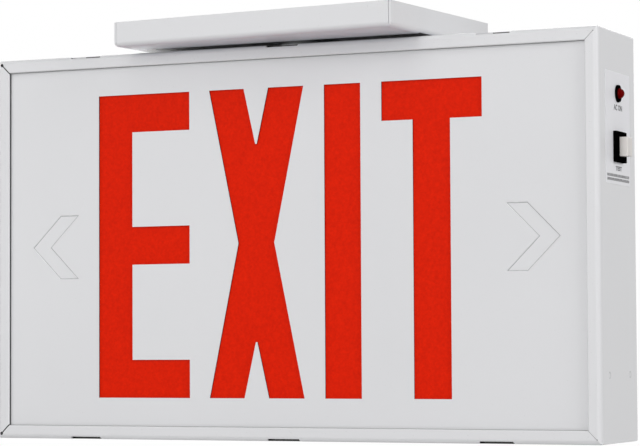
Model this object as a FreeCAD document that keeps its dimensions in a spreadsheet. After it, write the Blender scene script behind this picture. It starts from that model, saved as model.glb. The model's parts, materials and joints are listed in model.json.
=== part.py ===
import FreeCAD, Part
import math
import os
import re
import Sketcher
from FreeCAD import Vector

# Emergency exit light: a folded steel housing with a stencilled face, hung under a ceiling canopy.
#
# Frame: +X is to the right of someone reading the legend, +Y points away from them into the
# sign, +Z is up.  The origin is the centre of the mounting crossbar's slots, on the ceiling.
# What belongs to the housing is drawn about the housing's own centre and then lowered to it.
# All lengths are in millimetres and angles in degrees.

doc = FreeCAD.newDocument("exit_light")

# ------------------------------------------------------------------------------------------
# Driving sizes
# ------------------------------------------------------------------------------------------
SIZES = [
    # folded wrap-round frame of the housing
    ("housing_width", 324.5), ("housing_height", 194.0), ("housing_depth", 56.0),
    ("sheet_thickness", 1.0), ("lip_width", 6.6), ("bend_radius", 2.4), ("corner_radius", 1.0),
    ("lip_edge_round", 0.4), ("mitre_gap", 0.5), ("mitre_relief_radius", 0.8),
    ("closing_mitre_gap", 0.2), ("closing_relief_radius", 0.3),
    # slots on the folds: the plates' tabs hook into those at the top
    ("slot_length", 15.8), ("slot_flare", 2.0), ("slot_reach", 4.6), ("slot_rise", 1.2),
    ("slot_margin", 51.75),
    # lap where the frame's strip closes on itself, held by two dimpled spot welds
    ("lap_height", 45.0), ("lap_inset", 6.0), ("dimple_drop", 65.0), ("dimple_spacing", 30.7),
    ("dimple_radius", 3.8), ("dimple_depth", 0.35),
    # face plate and back plate
    ("plate_thickness", 0.8), ("plate_edge_gap", 0.6), ("lip_gap", 1.2), ("tab_width", 8.0),
    ("tab_shift", 3.2), ("tab_setback", 0.4),
    # legend
    ("letter_height", 152.4), ("legend_margin", 58.475), ("letter_gap", 11.05),
    ("stem_width", 19.3), ("bar_thickness", 19.0), ("notch_width", 13.4),
    ("notch_depth", 27.5), ("notch_tip", 0.8), ("waist_width", 19.6),
    # direction chevrons, half sheared so that one can be knocked out
    ("chevron_margin", 19.5), ("chevron_half_height", 16.4), ("chevron_band", 11.4),
    ("chevron_depth", 0.4), ("chevron_slope", 0.6), ("nib_width", 1.8),
    # knockouts of the back plate, held by a scored ring
    ("score_width", 0.45), ("score_depth", 0.4),
    ("conduit_knockout_radius", 11.1), ("box_knockout_radius", 3.0), ("hang_knockout_pitch", 150.0),
    ("hang_knockout_height", 45.0), ("hang_knockout_radius", 5.0),
    # translucent panel behind the face plate, and its push-on retainers
    ("panel_side_margin", 12.25), ("panel_overlap", 9.3), ("panel_thickness", 1.5),
    ("stud_radius", 1.5), ("stud_inset", 4.0), ("stud_reach", 2.6), ("stud_clearance", 0.25),
    ("retainer_radius", 4.5), ("retainer_thickness", 0.6), ("retainer_bite", 0.02),
    # ceiling canopy
    ("canopy_width", 156.4), ("canopy_depth", 103.2), ("canopy_height", 12.4),
    ("canopy_sheet", 1.0), ("canopy_gap", 1.3), ("canopy_turn", 5.2), ("canopy_play", 2.0),
    ("canopy_hole_radius", 11.1), ("seam_gap", 0.35), ("seam_recess", 0.3), ("seam_foot", 1.2),
    # hollow threaded nipple, its nuts and washers, and the crossbar
    ("nipple_radius", 8.55), ("nipple_bore_radius", 6.5), ("nipple_clearance", 0.3),
    ("nipple_top_gap", 0.3), ("nipple_end", 3.0), ("locknut_flats", 20.6),
    ("locknut_thickness", 3.5), ("thread_clearance", 0.05), ("washer_radius", 16.0),
    ("washer_thickness", 1.2), ("bushing_lip", 1.5), ("bushing_wall", 1.0),
    ("bushing_length", 9.0), ("bushing_clearance", 0.1),
    ("crossbar_length", 112.0), ("crossbar_width", 22.0), ("crossbar_thickness", 2.0),
    ("box_screw_spacing", 88.9), ("box_slot_width", 4.8), ("box_slot_length", 12.0),
    ("crossbar_corner", 4.0), ("ground_screw_x", 25.0), ("ground_head_flats", 8.0),
    ("ground_head_thickness", 2.6),
    # reflector tray hung on the nipple, which carries the lamps, driver and battery
    ("tray_thickness", 1.0), ("tray_front", 13.0), ("tray_end_gap", 14.25), ("tray_flange", 25.0),
    ("tray_bend", 1.8), ("grommet_x", -30.0), ("grommet_z", 58.0), ("grommet_hole_radius", 5.0),
    ("grommet_lip", 1.6), ("grommet_bore_radius", 3.4), ("grommet_clearance", 0.1),
    # lamp boards
    ("board_thickness", 1.6), ("led_board_inset", 8.0), ("led_board_height", 14.0),
    ("led_row_height", 38.0), ("led_end_inset", 13.5), ("led_size", 5.0), ("led_thickness", 1.5),
    # screws
    ("screw_radius", 1.5), ("screw_head_radius", 2.8), ("screw_head_height", 1.9),
    ("screw_clearance", 0.2), ("screw_end", 1.5),
    # driver board, on standoffs behind the tray
    ("driver_x", 45.0), ("driver_z", 8.0), ("driver_width", 118.0), ("driver_height", 64.0),
    ("standoff_height", 6.0), ("standoff_radius", 3.0), ("standoff_inset", 4.5),
    ("coil_width", 20.0), ("coil_height", 30.0), ("coil_depth", 22.0), ("core_window", 16.0),
    ("capacitor_radius", 4.0), ("capacitor_height", 13.0), ("capacitor_pitch", 10.5),
    ("terminal_well_radius", 2.2), ("terminal_well_depth", 3.0),
    # battery of three cells in one sleeve, under a strap
    ("battery_x", -95.0), ("battery_z", -2.0), ("cell_radius", 7.25), ("cell_length", 49.5),
    ("sleeve_fill", 5.6), ("strap_width", 14.0), ("strap_thickness", 0.8), ("strap_foot", 9.0),
    ("strap_clearance", 0.1),
    # test switch and mains lamp on the right wall, and the label round them
    ("label_width", 36.5), ("label_height", 53.0), ("label_z", 51.0), ("label_thickness", 0.15),
    ("switch_z", 42.2), ("bezel_width", 14.4), ("bezel_height", 14.5), ("bezel_proud", 2.1),
    ("bezel_round", 0.5), ("switch_ledge", 0.9), ("switch_depth", 18.0),
    ("switch_clearance", 0.15), ("button_width", 7.2), ("button_height", 9.0),
    ("button_proud", 3.9), ("button_depth", 8.0), ("button_travel", 2.5),
    ("button_clearance", 0.3), ("button_round", 0.6), ("button_floor_gap", 0.5),
    ("clip_margin", 2.6), ("clip_thickness", 1.2), ("blade_width", 4.8), ("blade_thickness", 0.8),
    ("blade_length", 7.0), ("blade_spacing", 6.0),
    ("lamp_z", 67.5), ("lamp_radius", 2.5), ("lamp_rise", 1.0), ("lamp_length", 8.0),
    ("holder_flange_radius", 4.1), ("holder_flange", 0.9), ("holder_radius", 3.1),
    ("holder_length", 8.5), ("holder_clearance", 0.1), ("ring_radius", 4.8), ("ring_height", 2.5),
    # leads inside the housing
    ("lead_radius", 0.8), ("lead_spacing", 2.2), ("socket_entry", 3.4), ("lead_run", 9.0),
    ("lead_stand", 4.0), ("solder_inset", 2.5),
]

# Parts soldered to the driver board.  Each centre is measured inwards from the named edges
# (left or right, low or high), then come width, height and how far the part stands off.
BOARD_PARTS = [
    ("transformer_core", "right", 57.0, "low", 20.0, 32.0, 14.0, 22.0),
    ("relay", "left", 29.0, "high", 14.0, 19.0, 15.0, 15.0),
    ("terminal_block", "right", 54.0, "high", 8.0, 20.0, 10.0, 12.0),
    ("regulator", "right", 22.0, "low", 18.0, 10.0, 4.6, 15.0),
    ("battery_socket", "left", 6.0, "low", 12.0, 8.0, 7.0, 7.0),
    ("led_socket", "left", 6.0, "high", 16.0, 8.0, 7.0, 7.0),
    ("switch_socket", "right", 6.0, "high", 30.0, 8.0, 7.0, 7.0),
    ("lamp_socket", "right", 6.0, "high", 16.0, 8.0, 7.0, 7.0),
]
PART_X = {}
PART_Z = {}
for part, side, inset_x, level, inset_z, width, height, depth in BOARD_PARTS:
    SIZES += [(part + "_inset_x", inset_x), (part + "_inset_z", inset_z),
              (part + "_width", width), (part + "_height", height), (part + "_depth", depth)]
    PART_X[part] = "(driver_x %s (driver_width / 2 - %s_inset_x))" % (
        "-" if side == "left" else "+", part)
    PART_Z[part] = "(driver_z %s (driver_height / 2 - %s_inset_z))" % (
        "-" if level == "low" else "+", part)
CAPACITOR_COUNT = 3
CELL_COUNT = 3
LED_COUNT = 12
LED_SCREW_STEPS = 5
TERMINAL_COUNT = 3
HEX_CORNERS = 6

VALUE = dict(SIZES)
sheet = doc.addObject("Spreadsheet::Sheet", "Sizes")
for row, (alias, value) in enumerate(SIZES, 1):
    sheet.set("A%d" % row, alias.replace("_", " "))
    sheet.set("B%d" % row, str(value))
    sheet.setAlias("B%d" % row, alias)
doc.recompute()

# Formulas that several pieces share
HALF_WIDTH = "(housing_width / 2)"
HOUSING_Z = "-(canopy_height + canopy_gap + housing_height / 2)"
PLATE_FRONT = "(housing_depth / 2 - sheet_thickness - lip_gap)"
PLATE_BACK = "(%s - plate_thickness)" % PLATE_FRONT
PLATE_HALF_WIDTH = "(housing_width / 2 - sheet_thickness - plate_edge_gap)"
PLATE_HALF_HEIGHT = "(housing_height / 2 - sheet_thickness - plate_edge_gap)"
PANEL_WIDTH = "(housing_width - 2 * panel_side_margin)"
PANEL_HEIGHT = "(letter_height + 2 * panel_overlap)"
LETTER_WIDTH = "((housing_width - 2 * legend_margin - stem_width - 3 * letter_gap) / 3)"
CHEVRON_TIP = "(housing_width / 2 - chevron_margin)"
TRAY_WIDTH = "(housing_width - 2 * tray_end_gap)"
TRAY_BACK = "(tray_front - tray_thickness)"
LED_BOARD_LENGTH = "(%s - 2 * led_board_inset)" % TRAY_WIDTH
LED_PITCH = "((%s - 2 * led_end_inset) / %d)" % (LED_BOARD_LENGTH, LED_COUNT - 1)
BOARD_BACK = "(%s - standoff_height - board_thickness)" % TRAY_BACK
STUD_X = "(%s / 2 - stud_inset)" % PANEL_WIDTH
STUD_Z = "(%s / 2 - stud_inset)" % PANEL_HEIGHT
STUDS = [(x, z) for z in (STUD_Z, "-" + STUD_Z) for x in ("-" + STUD_X, "0", STUD_X)]
SLOT_PITCH = "(housing_width / 2 - slot_margin)"
SLOT_CENTRES = ("-" + SLOT_PITCH, "0", SLOT_PITCH)


# ------------------------------------------------------------------------------------------
# Helpers
# ------------------------------------------------------------------------------------------
def bind(target, path, formula):
    """Bind a property to a formula in the sheet's aliases."""
    linked = re.sub(r"[a-z][a-z0-9_]*",
                    lambda word: "Sizes." + word[0] if word[0] in VALUE else word[0], formula)
    target.setExpression(path, linked)


def place(target, x=None, y=None, z=None):
    """Move a finished piece; each place given is a formula."""
    for axis, formula in (("x", x), ("y", y), ("z", z)):
        if formula is not None:
            bind(target, "Placement.Base." + axis, formula)
    return target


def new_body(name):
    body = doc.addObject("PartDesign::Body", name)
    body.Label = name
    body.AllowCompound = True
    return body


def sketch(body, plane, offset=None):
    """A sketch on a body's own plane.  front: X across, Z up, offset towards -Y.
    top: X across, Y up, offset towards +Z.  side: Y across, Z up, offset towards +X."""
    role = {"front": "XZ_Plane", "top": "XY_Plane", "side": "YZ_Plane"}[plane]
    drawing = body.newObject("Sketcher::SketchObject", body.Name + "_sketch")
    origin_plane = [item for item in body.Origin.OriginFeatures if item.Role == role][0]
    drawing.AttachmentSupport = [(origin_plane, "")]
    drawing.MapMode = "FlatFace"
    if offset is not None:
        bind(drawing, "AttachmentOffset.Base.z", offset)
    return drawing


def pin(drawing, curve, point, x, y):
    """Dimension one point of a curve from the sketch's origin."""
    for kind, formula in (("DistanceX", x), ("DistanceY", y)):
        index = drawing.addConstraint(Sketcher.Constraint(kind, -1, 1, curve, point, 1.0))
        bind(drawing, "Constraints[%d]" % index, formula)


def outline(drawing, corners):
    """A closed outline of straight lines through corners given as formulas."""
    first = drawing.GeometryCount
    count = len(corners)
    ring = [Vector(math.cos(math.tau * i / count), math.sin(math.tau * i / count), 0)
            for i in range(count + 1)]
    for i in range(count):
        drawing.addGeometry(Part.LineSegment(ring[i], ring[i + 1]), False)
    for i in range(count):
        following = first + (i + 1) % count
        drawing.addConstraint(Sketcher.Constraint("Coincident", first + i, 2, following, 1))
        pin(drawing, first + i, 1, corners[i][0], corners[i][1])


def rectangle(drawing, left, right, low, high):
    outline(drawing, [(left, low), (right, low), (right, high), (left, high)])


def centred_rectangle(drawing, width, height, x="0", y="0"):
    rectangle(drawing, "%s - (%s) / 2" % (x, width), "%s + (%s) / 2" % (x, width),
              "%s - (%s) / 2" % (y, height), "%s + (%s) / 2" % (y, height))


def circle(drawing, x, y, radius):
    curve = drawing.addGeometry(Part.Circle(Vector(0, 0, 0), Vector(0, 0, 1), 1.0), False)
    pin(drawing, curve, 3, x, y)
    index = drawing.addConstraint(Sketcher.Constraint("Radius", curve, 1.0))
    bind(drawing, "Constraints[%d]" % index, radius)


def hexagon(drawing, x, y, flats):
    """A nut's outline; flats is the size across its flats."""
    turns = ["%d / %d * 360 deg" % (i, HEX_CORNERS) for i in range(HEX_CORNERS)]
    outline(drawing, [("%s + %s / sqrt(3) * cos(%s)" % (x, flats, turn),
                       "%s + %s / sqrt(3) * sin(%s)" % (y, flats, turn)) for turn in turns])


def pad(body, drawing, length, reverse=False, both=False):
    feature = body.newObject("PartDesign::Pad", body.Name + "_pad")
    feature.Profile = (drawing, [""])
    bind(feature, "Length", length)
    feature.Reversed = reverse
    feature.SideType = "Symmetric" if both else "One side"
    return feature


def pocket(body, drawing, length, reverse=False):
    """A pocket cuts against the sketch's normal, or along it when reversed."""
    feature = body.newObject("PartDesign::Pocket", body.Name + "_pocket")
    feature.Profile = (drawing, [""])
    bind(feature, "Length", length)
    feature.Reversed = reverse
    return feature


def round_edges(body, feature, radius, chosen):
    """Fillet the edges of a feature that pass the test."""
    doc.recompute()
    names = ["Edge%d" % i for i, edge in enumerate(feature.Shape.Edges, 1) if chosen(edge)]
    fillet = body.newObject("PartDesign::Fillet", body.Name + "_fillet")
    fillet.Base = (feature, names)
    bind(fillet, "Radius", radius)
    body.Tip = fillet
    return fillet


def in_plane(axis, place_on_axis):
    """A test for edges that lie in the plane axis = place_on_axis."""
    def chosen(edge):
        low = getattr(edge.BoundBox, axis + "Min")
        high = getattr(edge.BoundBox, axis + "Max")
        return abs(low - place_on_axis) < 1e-4 and abs(high - place_on_axis) < 1e-4
    return chosen


def along(axis):
    """A test for straight edges parallel to an axis."""
    def chosen(edge):
        box = edge.BoundBox
        spans = {"X": box.XLength, "Y": box.YLength, "Z": box.ZLength}
        return spans.pop(axis) > 1e-4 and max(spans.values()) < 1e-4
    return chosen


def combine(kind, name, pieces):
    """Part booleans of several pieces: MultiFuse, MultiCommon."""
    result = doc.addObject("Part::" + kind, name)
    result.Label = name
    result.Shapes = pieces
    return result


def cut(name, base, tools):
    result = doc.addObject("Part::Cut", name)
    result.Label = name
    result.Base = base
    result.Tool = tools[0] if len(tools) == 1 else combine("MultiFuse", name + "_tools", tools)
    return result


def screws(name, plane, seat, spots, shank, heads_along=True):
    """Pan-head screws whose heads sit on the plane at seat; heads rise along the plane's
    normal, or against it."""
    body = new_body(name)
    heads = sketch(body, plane, seat)
    shanks = sketch(body, plane, seat)
    for x, y in spots:
        circle(heads, x, y, "screw_head_radius")
        circle(shanks, x, y, "screw_radius")
    pad(body, shanks, shank, reverse=heads_along)
    pad(body, heads, "screw_head_height", reverse=not heads_along)
    return body


NODES = {}


def keep(name, piece):
    """Note a finished piece under the name of its file."""
    piece.Label = name
    NODES[name] = piece
    return piece


# ------------------------------------------------------------------------------------------
# Housing frame: one strip with a lip folded along each edge, wrapped round four corners
# ------------------------------------------------------------------------------------------
def folded_block(name, margin, radius):
    """A block set in from the housing's outside by a margin, with its front and back
    outlines rounded as the folds are."""
    body = new_body(name)
    drawing = sketch(body, "front")
    centred_rectangle(drawing, "housing_width - 2 * " + margin, "housing_height - 2 * " + margin)
    block = pad(body, drawing, "housing_depth - 2 * " + margin, both=True)
    round_edges(body, block, radius, lambda edge: edge.BoundBox.YLength < 1e-4)
    return body


def make_frame():
    outside = folded_block("frame_outside", "0", "bend_radius")
    inside = folded_block("frame_inside", "sheet_thickness", "bend_radius - sheet_thickness")

    # the four corners of the wrap have a small radius of their own
    prism = new_body("frame_corners")
    drawing = sketch(prism, "front")
    centred_rectangle(drawing, "housing_width", "housing_height")
    block = pad(prism, drawing, "housing_depth", both=True)
    round_edges(prism, block, "corner_radius", along("Y"))

    # the opening between the lips, flared a little so that the lips' edges are eased
    window = new_body("frame_window")
    drawing = sketch(window, "front")
    centred_rectangle(drawing, "housing_width - 2 * lip_width", "housing_height - 2 * lip_width")
    pad(window, drawing, "housing_depth + 2", both=True)
    for side in ("", "-"):
        loops = []
        for step in ("0", "2 * lip_edge_round"):
            drawing = sketch(window, "front",
                             "%s(housing_depth / 2 - lip_edge_round + %s)" % (side, step))
            centred_rectangle(drawing, "housing_width - 2 * lip_width + 2 * " + step,
                              "housing_height - 2 * lip_width + 2 * " + step)
            loops.append(drawing)
        loft = window.newObject("PartDesign::AdditiveLoft", "window_flare")
        loft.Profile = (loops[0], [""])
        loft.Sections = [(loops[1], [""])]
        loft.Ruled = True

    # mitres in the lips, each ending in a round relief where the folds meet; the right-hand
    # pair is drawn tight where the strip closes
    mitres = new_body("frame_mitres")
    gaps = sketch(mitres, "front")
    reliefs = sketch(mitres, "front")
    for sx, gap, relief in (("", "closing_mitre_gap", "closing_relief_radius"),
                            ("-", "mitre_gap", "mitre_relief_radius")):
        half_gap = gap + " / (2 * sqrt(2))"
        for sz in ("", "-"):
            inner_x = "housing_width / 2 - lip_width - " + gap
            inner_z = "housing_height / 2 - lip_width - " + gap
            outer_x = "housing_width / 2 - bend_radius"
            outer_z = "housing_height / 2 - bend_radius"
            outline(gaps, [("%s(%s + %s)" % (sx, inner_x, half_gap),
                            "%s(%s - %s)" % (sz, inner_z, half_gap)),
                           ("%s(%s + %s)" % (sx, outer_x, half_gap),
                            "%s(%s - %s)" % (sz, outer_z, half_gap)),
                           ("%s(%s - %s)" % (sx, outer_x, half_gap),
                            "%s(%s + %s)" % (sz, outer_z, half_gap)),
                           ("%s(%s - %s)" % (sx, inner_x, half_gap),
                            "%s(%s + %s)" % (sz, inner_z, half_gap))])
            circle(reliefs, "%s(%s)" % (sx, outer_x), "%s(%s)" % (sz, outer_z), relief)
    pad(mitres, gaps, "housing_depth + 2", both=True)
    pad(mitres, reliefs, "housing_depth + 2", both=True)

    # flared slots on the folds, three to an edge
    slots = new_body("frame_slots")
    for side in ("", "-"):
        drawing = sketch(slots, "top", "%s(housing_height / 2 - slot_rise)" % side)
        for face in ("", "-"):
            for centre in SLOT_CENTRES:
                outer = "%s(housing_depth / 2 + 1)" % face
                inner = "%s(housing_depth / 2 - slot_reach)" % face
                outline(drawing, [(centre + " - slot_length / 2", outer),
                                  (centre + " + slot_length / 2", outer),
                                  (centre + " + slot_length / 2 + slot_flare", inner),
                                  (centre + " - slot_length / 2 - slot_flare", inner)])
        pad(slots, drawing, "slot_rise + 1", reverse=side == "-")

    # holes: nipple in the top wall, switch and lamp in the right wall
    holes = new_body("frame_holes")
    drawing = sketch(holes, "top", "housing_height / 2 + 1")
    circle(drawing, "0", "0", "nipple_radius + nipple_clearance")
    pad(holes, drawing, "sheet_thickness + 2", reverse=True)
    drawing = sketch(holes, "side", "housing_width / 2 + 1")
    centred_rectangle(drawing, "bezel_width - 2 * switch_ledge + 2 * switch_clearance",
                      "bezel_height - 2 * switch_ledge + 2 * switch_clearance", y="switch_z")
    circle(drawing, "0", "lamp_z", "holder_radius + holder_clearance")
    pad(holes, drawing, "sheet_thickness + 2", reverse=True)

    # two shallow dimples over the spot welds of the lap
    dimples = []
    for side in ("", "-"):
        ball = doc.addObject("Part::Sphere", "dimple")
        bind(ball, "Radius", "dimple_radius")
        dimples.append(place(ball, "housing_width / 2 + dimple_radius - dimple_depth",
                             "%sdimple_spacing / 2" % side, "-dimple_drop"))

    lap = new_body("frame_lap")
    drawing = sketch(lap, "side", "housing_width / 2 - sheet_thickness")
    low = "-(housing_height / 2 - sheet_thickness)"
    rectangle(drawing, "-(housing_depth / 2 - lap_inset)", "housing_depth / 2 - lap_inset",
              low, low + " + lap_height")
    pad(lap, drawing, "sheet_thickness", reverse=True)

    outer = combine("MultiCommon", "frame_block", [outside, prism])
    channel = cut("frame_channel", outer,
                  [inside, window, mitres, slots, holes] + dimples)
    return combine("MultiFuse", "housing_frame", [channel, lap])


# ------------------------------------------------------------------------------------------
# Face plate: stencilled legend, half-sheared chevrons, hook tabs and studs for the panel
# ------------------------------------------------------------------------------------------
def legend_outlines():
    """E, X, I and T, each one letter width wide apart from the I."""
    top = "letter_height / 2"
    low = "-letter_height / 2"
    start = "-(housing_width / 2 - legend_margin)"
    step = LETTER_WIDTH + " + letter_gap"
    bar = "bar_thickness"

    left = start
    stem = "%s + stem_width" % left
    right = "%s + %s" % (left, LETTER_WIDTH)
    letter_e = [(left, low), (right, low), (right, low + " + " + bar), (stem, low + " + " + bar),
                (stem, "-bar_thickness / 2"), (right, "-bar_thickness / 2"),
                (right, "bar_thickness / 2"), (stem, "bar_thickness / 2"),
                (stem, top + " - " + bar), (right, top + " - " + bar), (right, top), (left, top)]

    left = "%s + %s" % (start, step)
    right = "%s + %s" % (left, LETTER_WIDTH)
    middle = "%s + %s / 2" % (left, LETTER_WIDTH)
    notch_left = middle + " - notch_width / 2"
    notch_right = middle + " + notch_width / 2"
    tip_left = middle + " - notch_tip / 2"
    tip_right = middle + " + notch_tip / 2"
    letter_x = [(left, low), (notch_left, low), (tip_left, low + " + notch_depth"),
                (tip_right, low + " + notch_depth"), (notch_right, low), (right, low),
                (middle + " + waist_width / 2", "0"), (right, top), (notch_right, top),
                (tip_right, top + " - notch_depth"), (tip_left, top + " - notch_depth"),
                (notch_left, top), (left, top), (middle + " - waist_width / 2", "0")]

    left = "%s + 2 * (%s)" % (start, step)
    right = "%s + stem_width" % left
    letter_i = [(left, low), (right, low), (right, top), (left, top)]

    left = "%s + 2 * (%s) + stem_width + letter_gap" % (start, step)
    right = "%s + %s" % (left, LETTER_WIDTH)
    middle = "%s + %s / 2" % (left, LETTER_WIDTH)
    stem_left = middle + " - stem_width / 2"
    stem_right = middle + " + stem_width / 2"
    letter_t = [(stem_left, low), (stem_right, low), (stem_right, top + " - " + bar),
                (right, top + " - " + bar), (right, top), (left, top),
                (left, top + " - " + bar), (stem_left, top + " - " + bar)]
    return [letter_e, letter_x, letter_i, letter_t]


def chevron(side, inset):
    """A chevron with arms at 45 degrees; inset moves every edge inwards by that much."""
    tip = "%s - sqrt(2) * %s" % (CHEVRON_TIP, inset)
    vertex = "%s - chevron_band + sqrt(2) * %s" % (CHEVRON_TIP, inset)
    half = "(chevron_half_height - %s)" % inset
    corners = [(tip, "0"), ("%s - %s" % (tip, half), half), ("%s - %s" % (vertex, half), half),
               (vertex, "0"), ("%s - %s" % (vertex, half), "-" + half),
               ("%s - %s" % (tip, half), "-" + half)]
    return [("%s(%s)" % (side, x), z) for x, z in corners]


def plate_with_tabs(name, face):
    """A flat plate behind the lips of one face, with tabs that hook into the upper slots."""
    body = new_body(name)
    front = face == "-"
    offset = PLATE_FRONT if front else "-" + PLATE_FRONT
    drawing = sketch(body, "front", offset)
    centred_rectangle(drawing, "2 * " + PLATE_HALF_WIDTH, "2 * " + PLATE_HALF_HEIGHT)
    pad(body, drawing, "plate_thickness", reverse=front)
    drawing = sketch(body, "front", offset)
    shift = " + tab_shift" if front else " - tab_shift"
    for centre in SLOT_CENTRES:
        rectangle(drawing, centre + shift + " - tab_width / 2",
                  centre + shift + " + tab_width / 2",
                  PLATE_HALF_HEIGHT + " - tab_setback", "housing_height / 2 - tab_setback")
    pad(body, drawing, "plate_thickness", reverse=front)
    return body, offset


def make_face_plate():
    body, offset = plate_with_tabs("face_plate", "-")
    drawing = sketch(body, "front", offset)
    for letter in legend_outlines():
        outline(drawing, letter)
    pocket(body, drawing, "plate_thickness + 1")

    floor = "%s - chevron_depth" % offset
    for side in ("", "-"):
        rim = sketch(body, "front", offset)
        foot = sketch(body, "front", floor)
        outline(rim, chevron(side, "0"))
        outline(foot, chevron(side, "chevron_slope"))
        loft = body.newObject("PartDesign::SubtractiveLoft", "chevron_recess")
        loft.Profile = (rim, [""])
        loft.Sections = [(foot, [""])]
        loft.Ruled = True
    nibs = sketch(body, "front", floor)
    middle = "(%s - chevron_half_height - chevron_band / 2)" % CHEVRON_TIP
    for side in ("", "-"):
        for end in ("", "-"):
            rectangle(nibs, "%s(%s - nib_width / 2)" % (side, middle),
                      "%s(%s + nib_width / 2)" % (side, middle),
                      "%s(chevron_half_height - chevron_slope)" % end,
                      "%schevron_half_height" % end)
    pad(body, nibs, "chevron_depth")

    studs = sketch(body, "front", "%s - plate_thickness" % offset)
    for x, z in STUDS:
        circle(studs, x, z, "stud_radius")
    pad(body, studs, "panel_thickness + stud_reach", reverse=True)
    return body


def make_back_plate():
    """The same plate for the back, with scored knockouts for conduit, box screws and hooks."""
    body, offset = plate_with_tabs("back_plate", "")
    drawing = sketch(body, "front", offset)
    knockouts = [("0", "0", "conduit_knockout_radius")]
    for side in ("", "-"):
        knockouts.append(("%sbox_screw_spacing / 2" % side, "0", "box_knockout_radius"))
        knockouts.append(("%shang_knockout_pitch / 2" % side, "hang_knockout_height",
                          "hang_knockout_radius"))
    for x, z, radius in knockouts:
        circle(drawing, x, z, radius)
        circle(drawing, x, z, radius + " - score_width")
    pocket(body, drawing, "score_depth", reverse=True)
    return body


def make_panel():
    body = new_body("red_panel")
    drawing = sketch(body, "front", PLATE_BACK)
    centred_rectangle(drawing, PANEL_WIDTH, PANEL_HEIGHT)
    for x, z in STUDS:
        circle(drawing, x, z, "stud_radius + stud_clearance")
    pad(body, drawing, "panel_thickness", reverse=True)
    return body


def make_retainers():
    """Push-on spring washers on the studs, tight against the back of the panel."""
    body = new_body("panel_retainers")
    drawing = sketch(body, "front", "%s - panel_thickness" % PLATE_BACK)
    for x, z in STUDS:
        circle(drawing, x, z, "retainer_radius")
        circle(drawing, x, z, "stud_radius + retainer_bite")
    pad(body, drawing, "retainer_thickness", reverse=True)
    return body


# ------------------------------------------------------------------------------------------
# Canopy, nipple and crossbar
# ------------------------------------------------------------------------------------------
def canopy_block(name, margin, radius, rise):
    body = new_body(name)
    drawing = sketch(body, "top", "-(canopy_height - %s)" % margin)
    centred_rectangle(drawing, "canopy_width - 2 * " + margin, "canopy_depth - 2 * " + margin)
    block = pad(body, drawing, "canopy_height - %s + %s" % (margin, rise))
    floor = -(VALUE["canopy_height"] - VALUE.get(margin, 0.0))
    round_edges(body, block, radius, in_plane("Z", floor))
    return body


def make_canopy():
    """A pan folded up from one blank and open to the ceiling.  At each corner the side wall
    laps the end of the front or back wall and leaves a narrow seam."""
    outside = canopy_block("canopy_outside", "0", "bend_radius", "0")
    inside = canopy_block("canopy_inside", "canopy_sheet", "bend_radius - canopy_sheet", "1")
    seams = new_body("canopy_seams")
    drawing = sketch(seams, "top", "-(canopy_height - seam_foot)")
    near = "canopy_width / 2 - canopy_sheet - seam_gap"
    lap = "canopy_width / 2 - canopy_sheet"
    beyond = "canopy_width / 2 + 1"
    wall = "canopy_depth / 2 - canopy_sheet - 0.5"
    step = "canopy_depth / 2 - seam_recess"
    clear = "canopy_depth / 2 + 1"
    for sx in ("", "-"):
        for sy in ("", "-"):
            corners = [(near, wall), (lap, wall), (lap, step), (beyond, step), (beyond, clear),
                       (near, clear)]
            outline(drawing, [("%s(%s)" % (sx, x), "%s(%s)" % (sy, y)) for x, y in corners])
    pad(seams, drawing, "canopy_height")
    hole = new_body("canopy_hole")
    drawing = sketch(hole, "top", "-(canopy_height + 1)")
    circle(drawing, "0", "0", "canopy_hole_radius")
    pad(hole, drawing, "canopy_sheet + 2")
    canopy = cut("canopy", outside, [inside, seams, hole])
    # its hole is larger than the nipple, so it is clamped a little off centre and turned
    canopy.Placement = FreeCAD.Placement(Vector(), FreeCAD.Rotation(Vector(0, 0, 1), -1.0))
    bind(canopy, "Placement.Rotation.Angle", "-canopy_turn")
    return place(canopy, x="-canopy_play")


def ring_solid(name, low, height, outer, inner):
    """A washer or tube about the nipple's axis, standing on the level low."""
    body = new_body(name)
    drawing = sketch(body, "top", low)
    circle(drawing, "0", "0", outer)
    circle(drawing, "0", "0", inner)
    pad(body, drawing, height)
    return body


def locknut(name, low):
    body = new_body(name)
    drawing = sketch(body, "top", low)
    hexagon(drawing, "0", "0", "locknut_flats")
    circle(drawing, "0", "0", "nipple_radius + thread_clearance")
    pad(body, drawing, "locknut_thickness")
    return body


def make_crossbar():
    """Ceiling-box strap: two slots for the box screws and a tapped centre for the nipple."""
    body = new_body("mounting_crossbar")
    drawing = sketch(body, "top", "-crossbar_thickness")
    centred_rectangle(drawing, "crossbar_length", "crossbar_width")
    circle(drawing, "0", "0", "nipple_radius + thread_clearance")
    circle(drawing, "ground_screw_x", "0", "screw_radius + thread_clearance")
    strip = pad(body, drawing, "crossbar_thickness")
    half = VALUE["crossbar_length"] / 2
    round_edges(body, strip, "crossbar_corner",
                lambda edge: along("Z")(edge) and abs(abs(edge.BoundBox.XMin) - half) < 1e-4)
    straight = "box_slot_length - box_slot_width"
    flat = sketch(body, "top")
    for side in ("", "-"):
        centred_rectangle(flat, straight, "box_slot_width", x="%sbox_screw_spacing / 2" % side)
    pocket(body, flat, "crossbar_thickness + 1")
    for end in ("+", "-"):
        rounds = sketch(body, "top")
        for side in ("", "-"):
            circle(rounds, "%sbox_screw_spacing / 2 %s (%s) / 2" % (side, end, straight), "0",
                   "box_slot_width / 2")
        pocket(body, rounds, "crossbar_thickness + 1")
    return body


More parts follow.
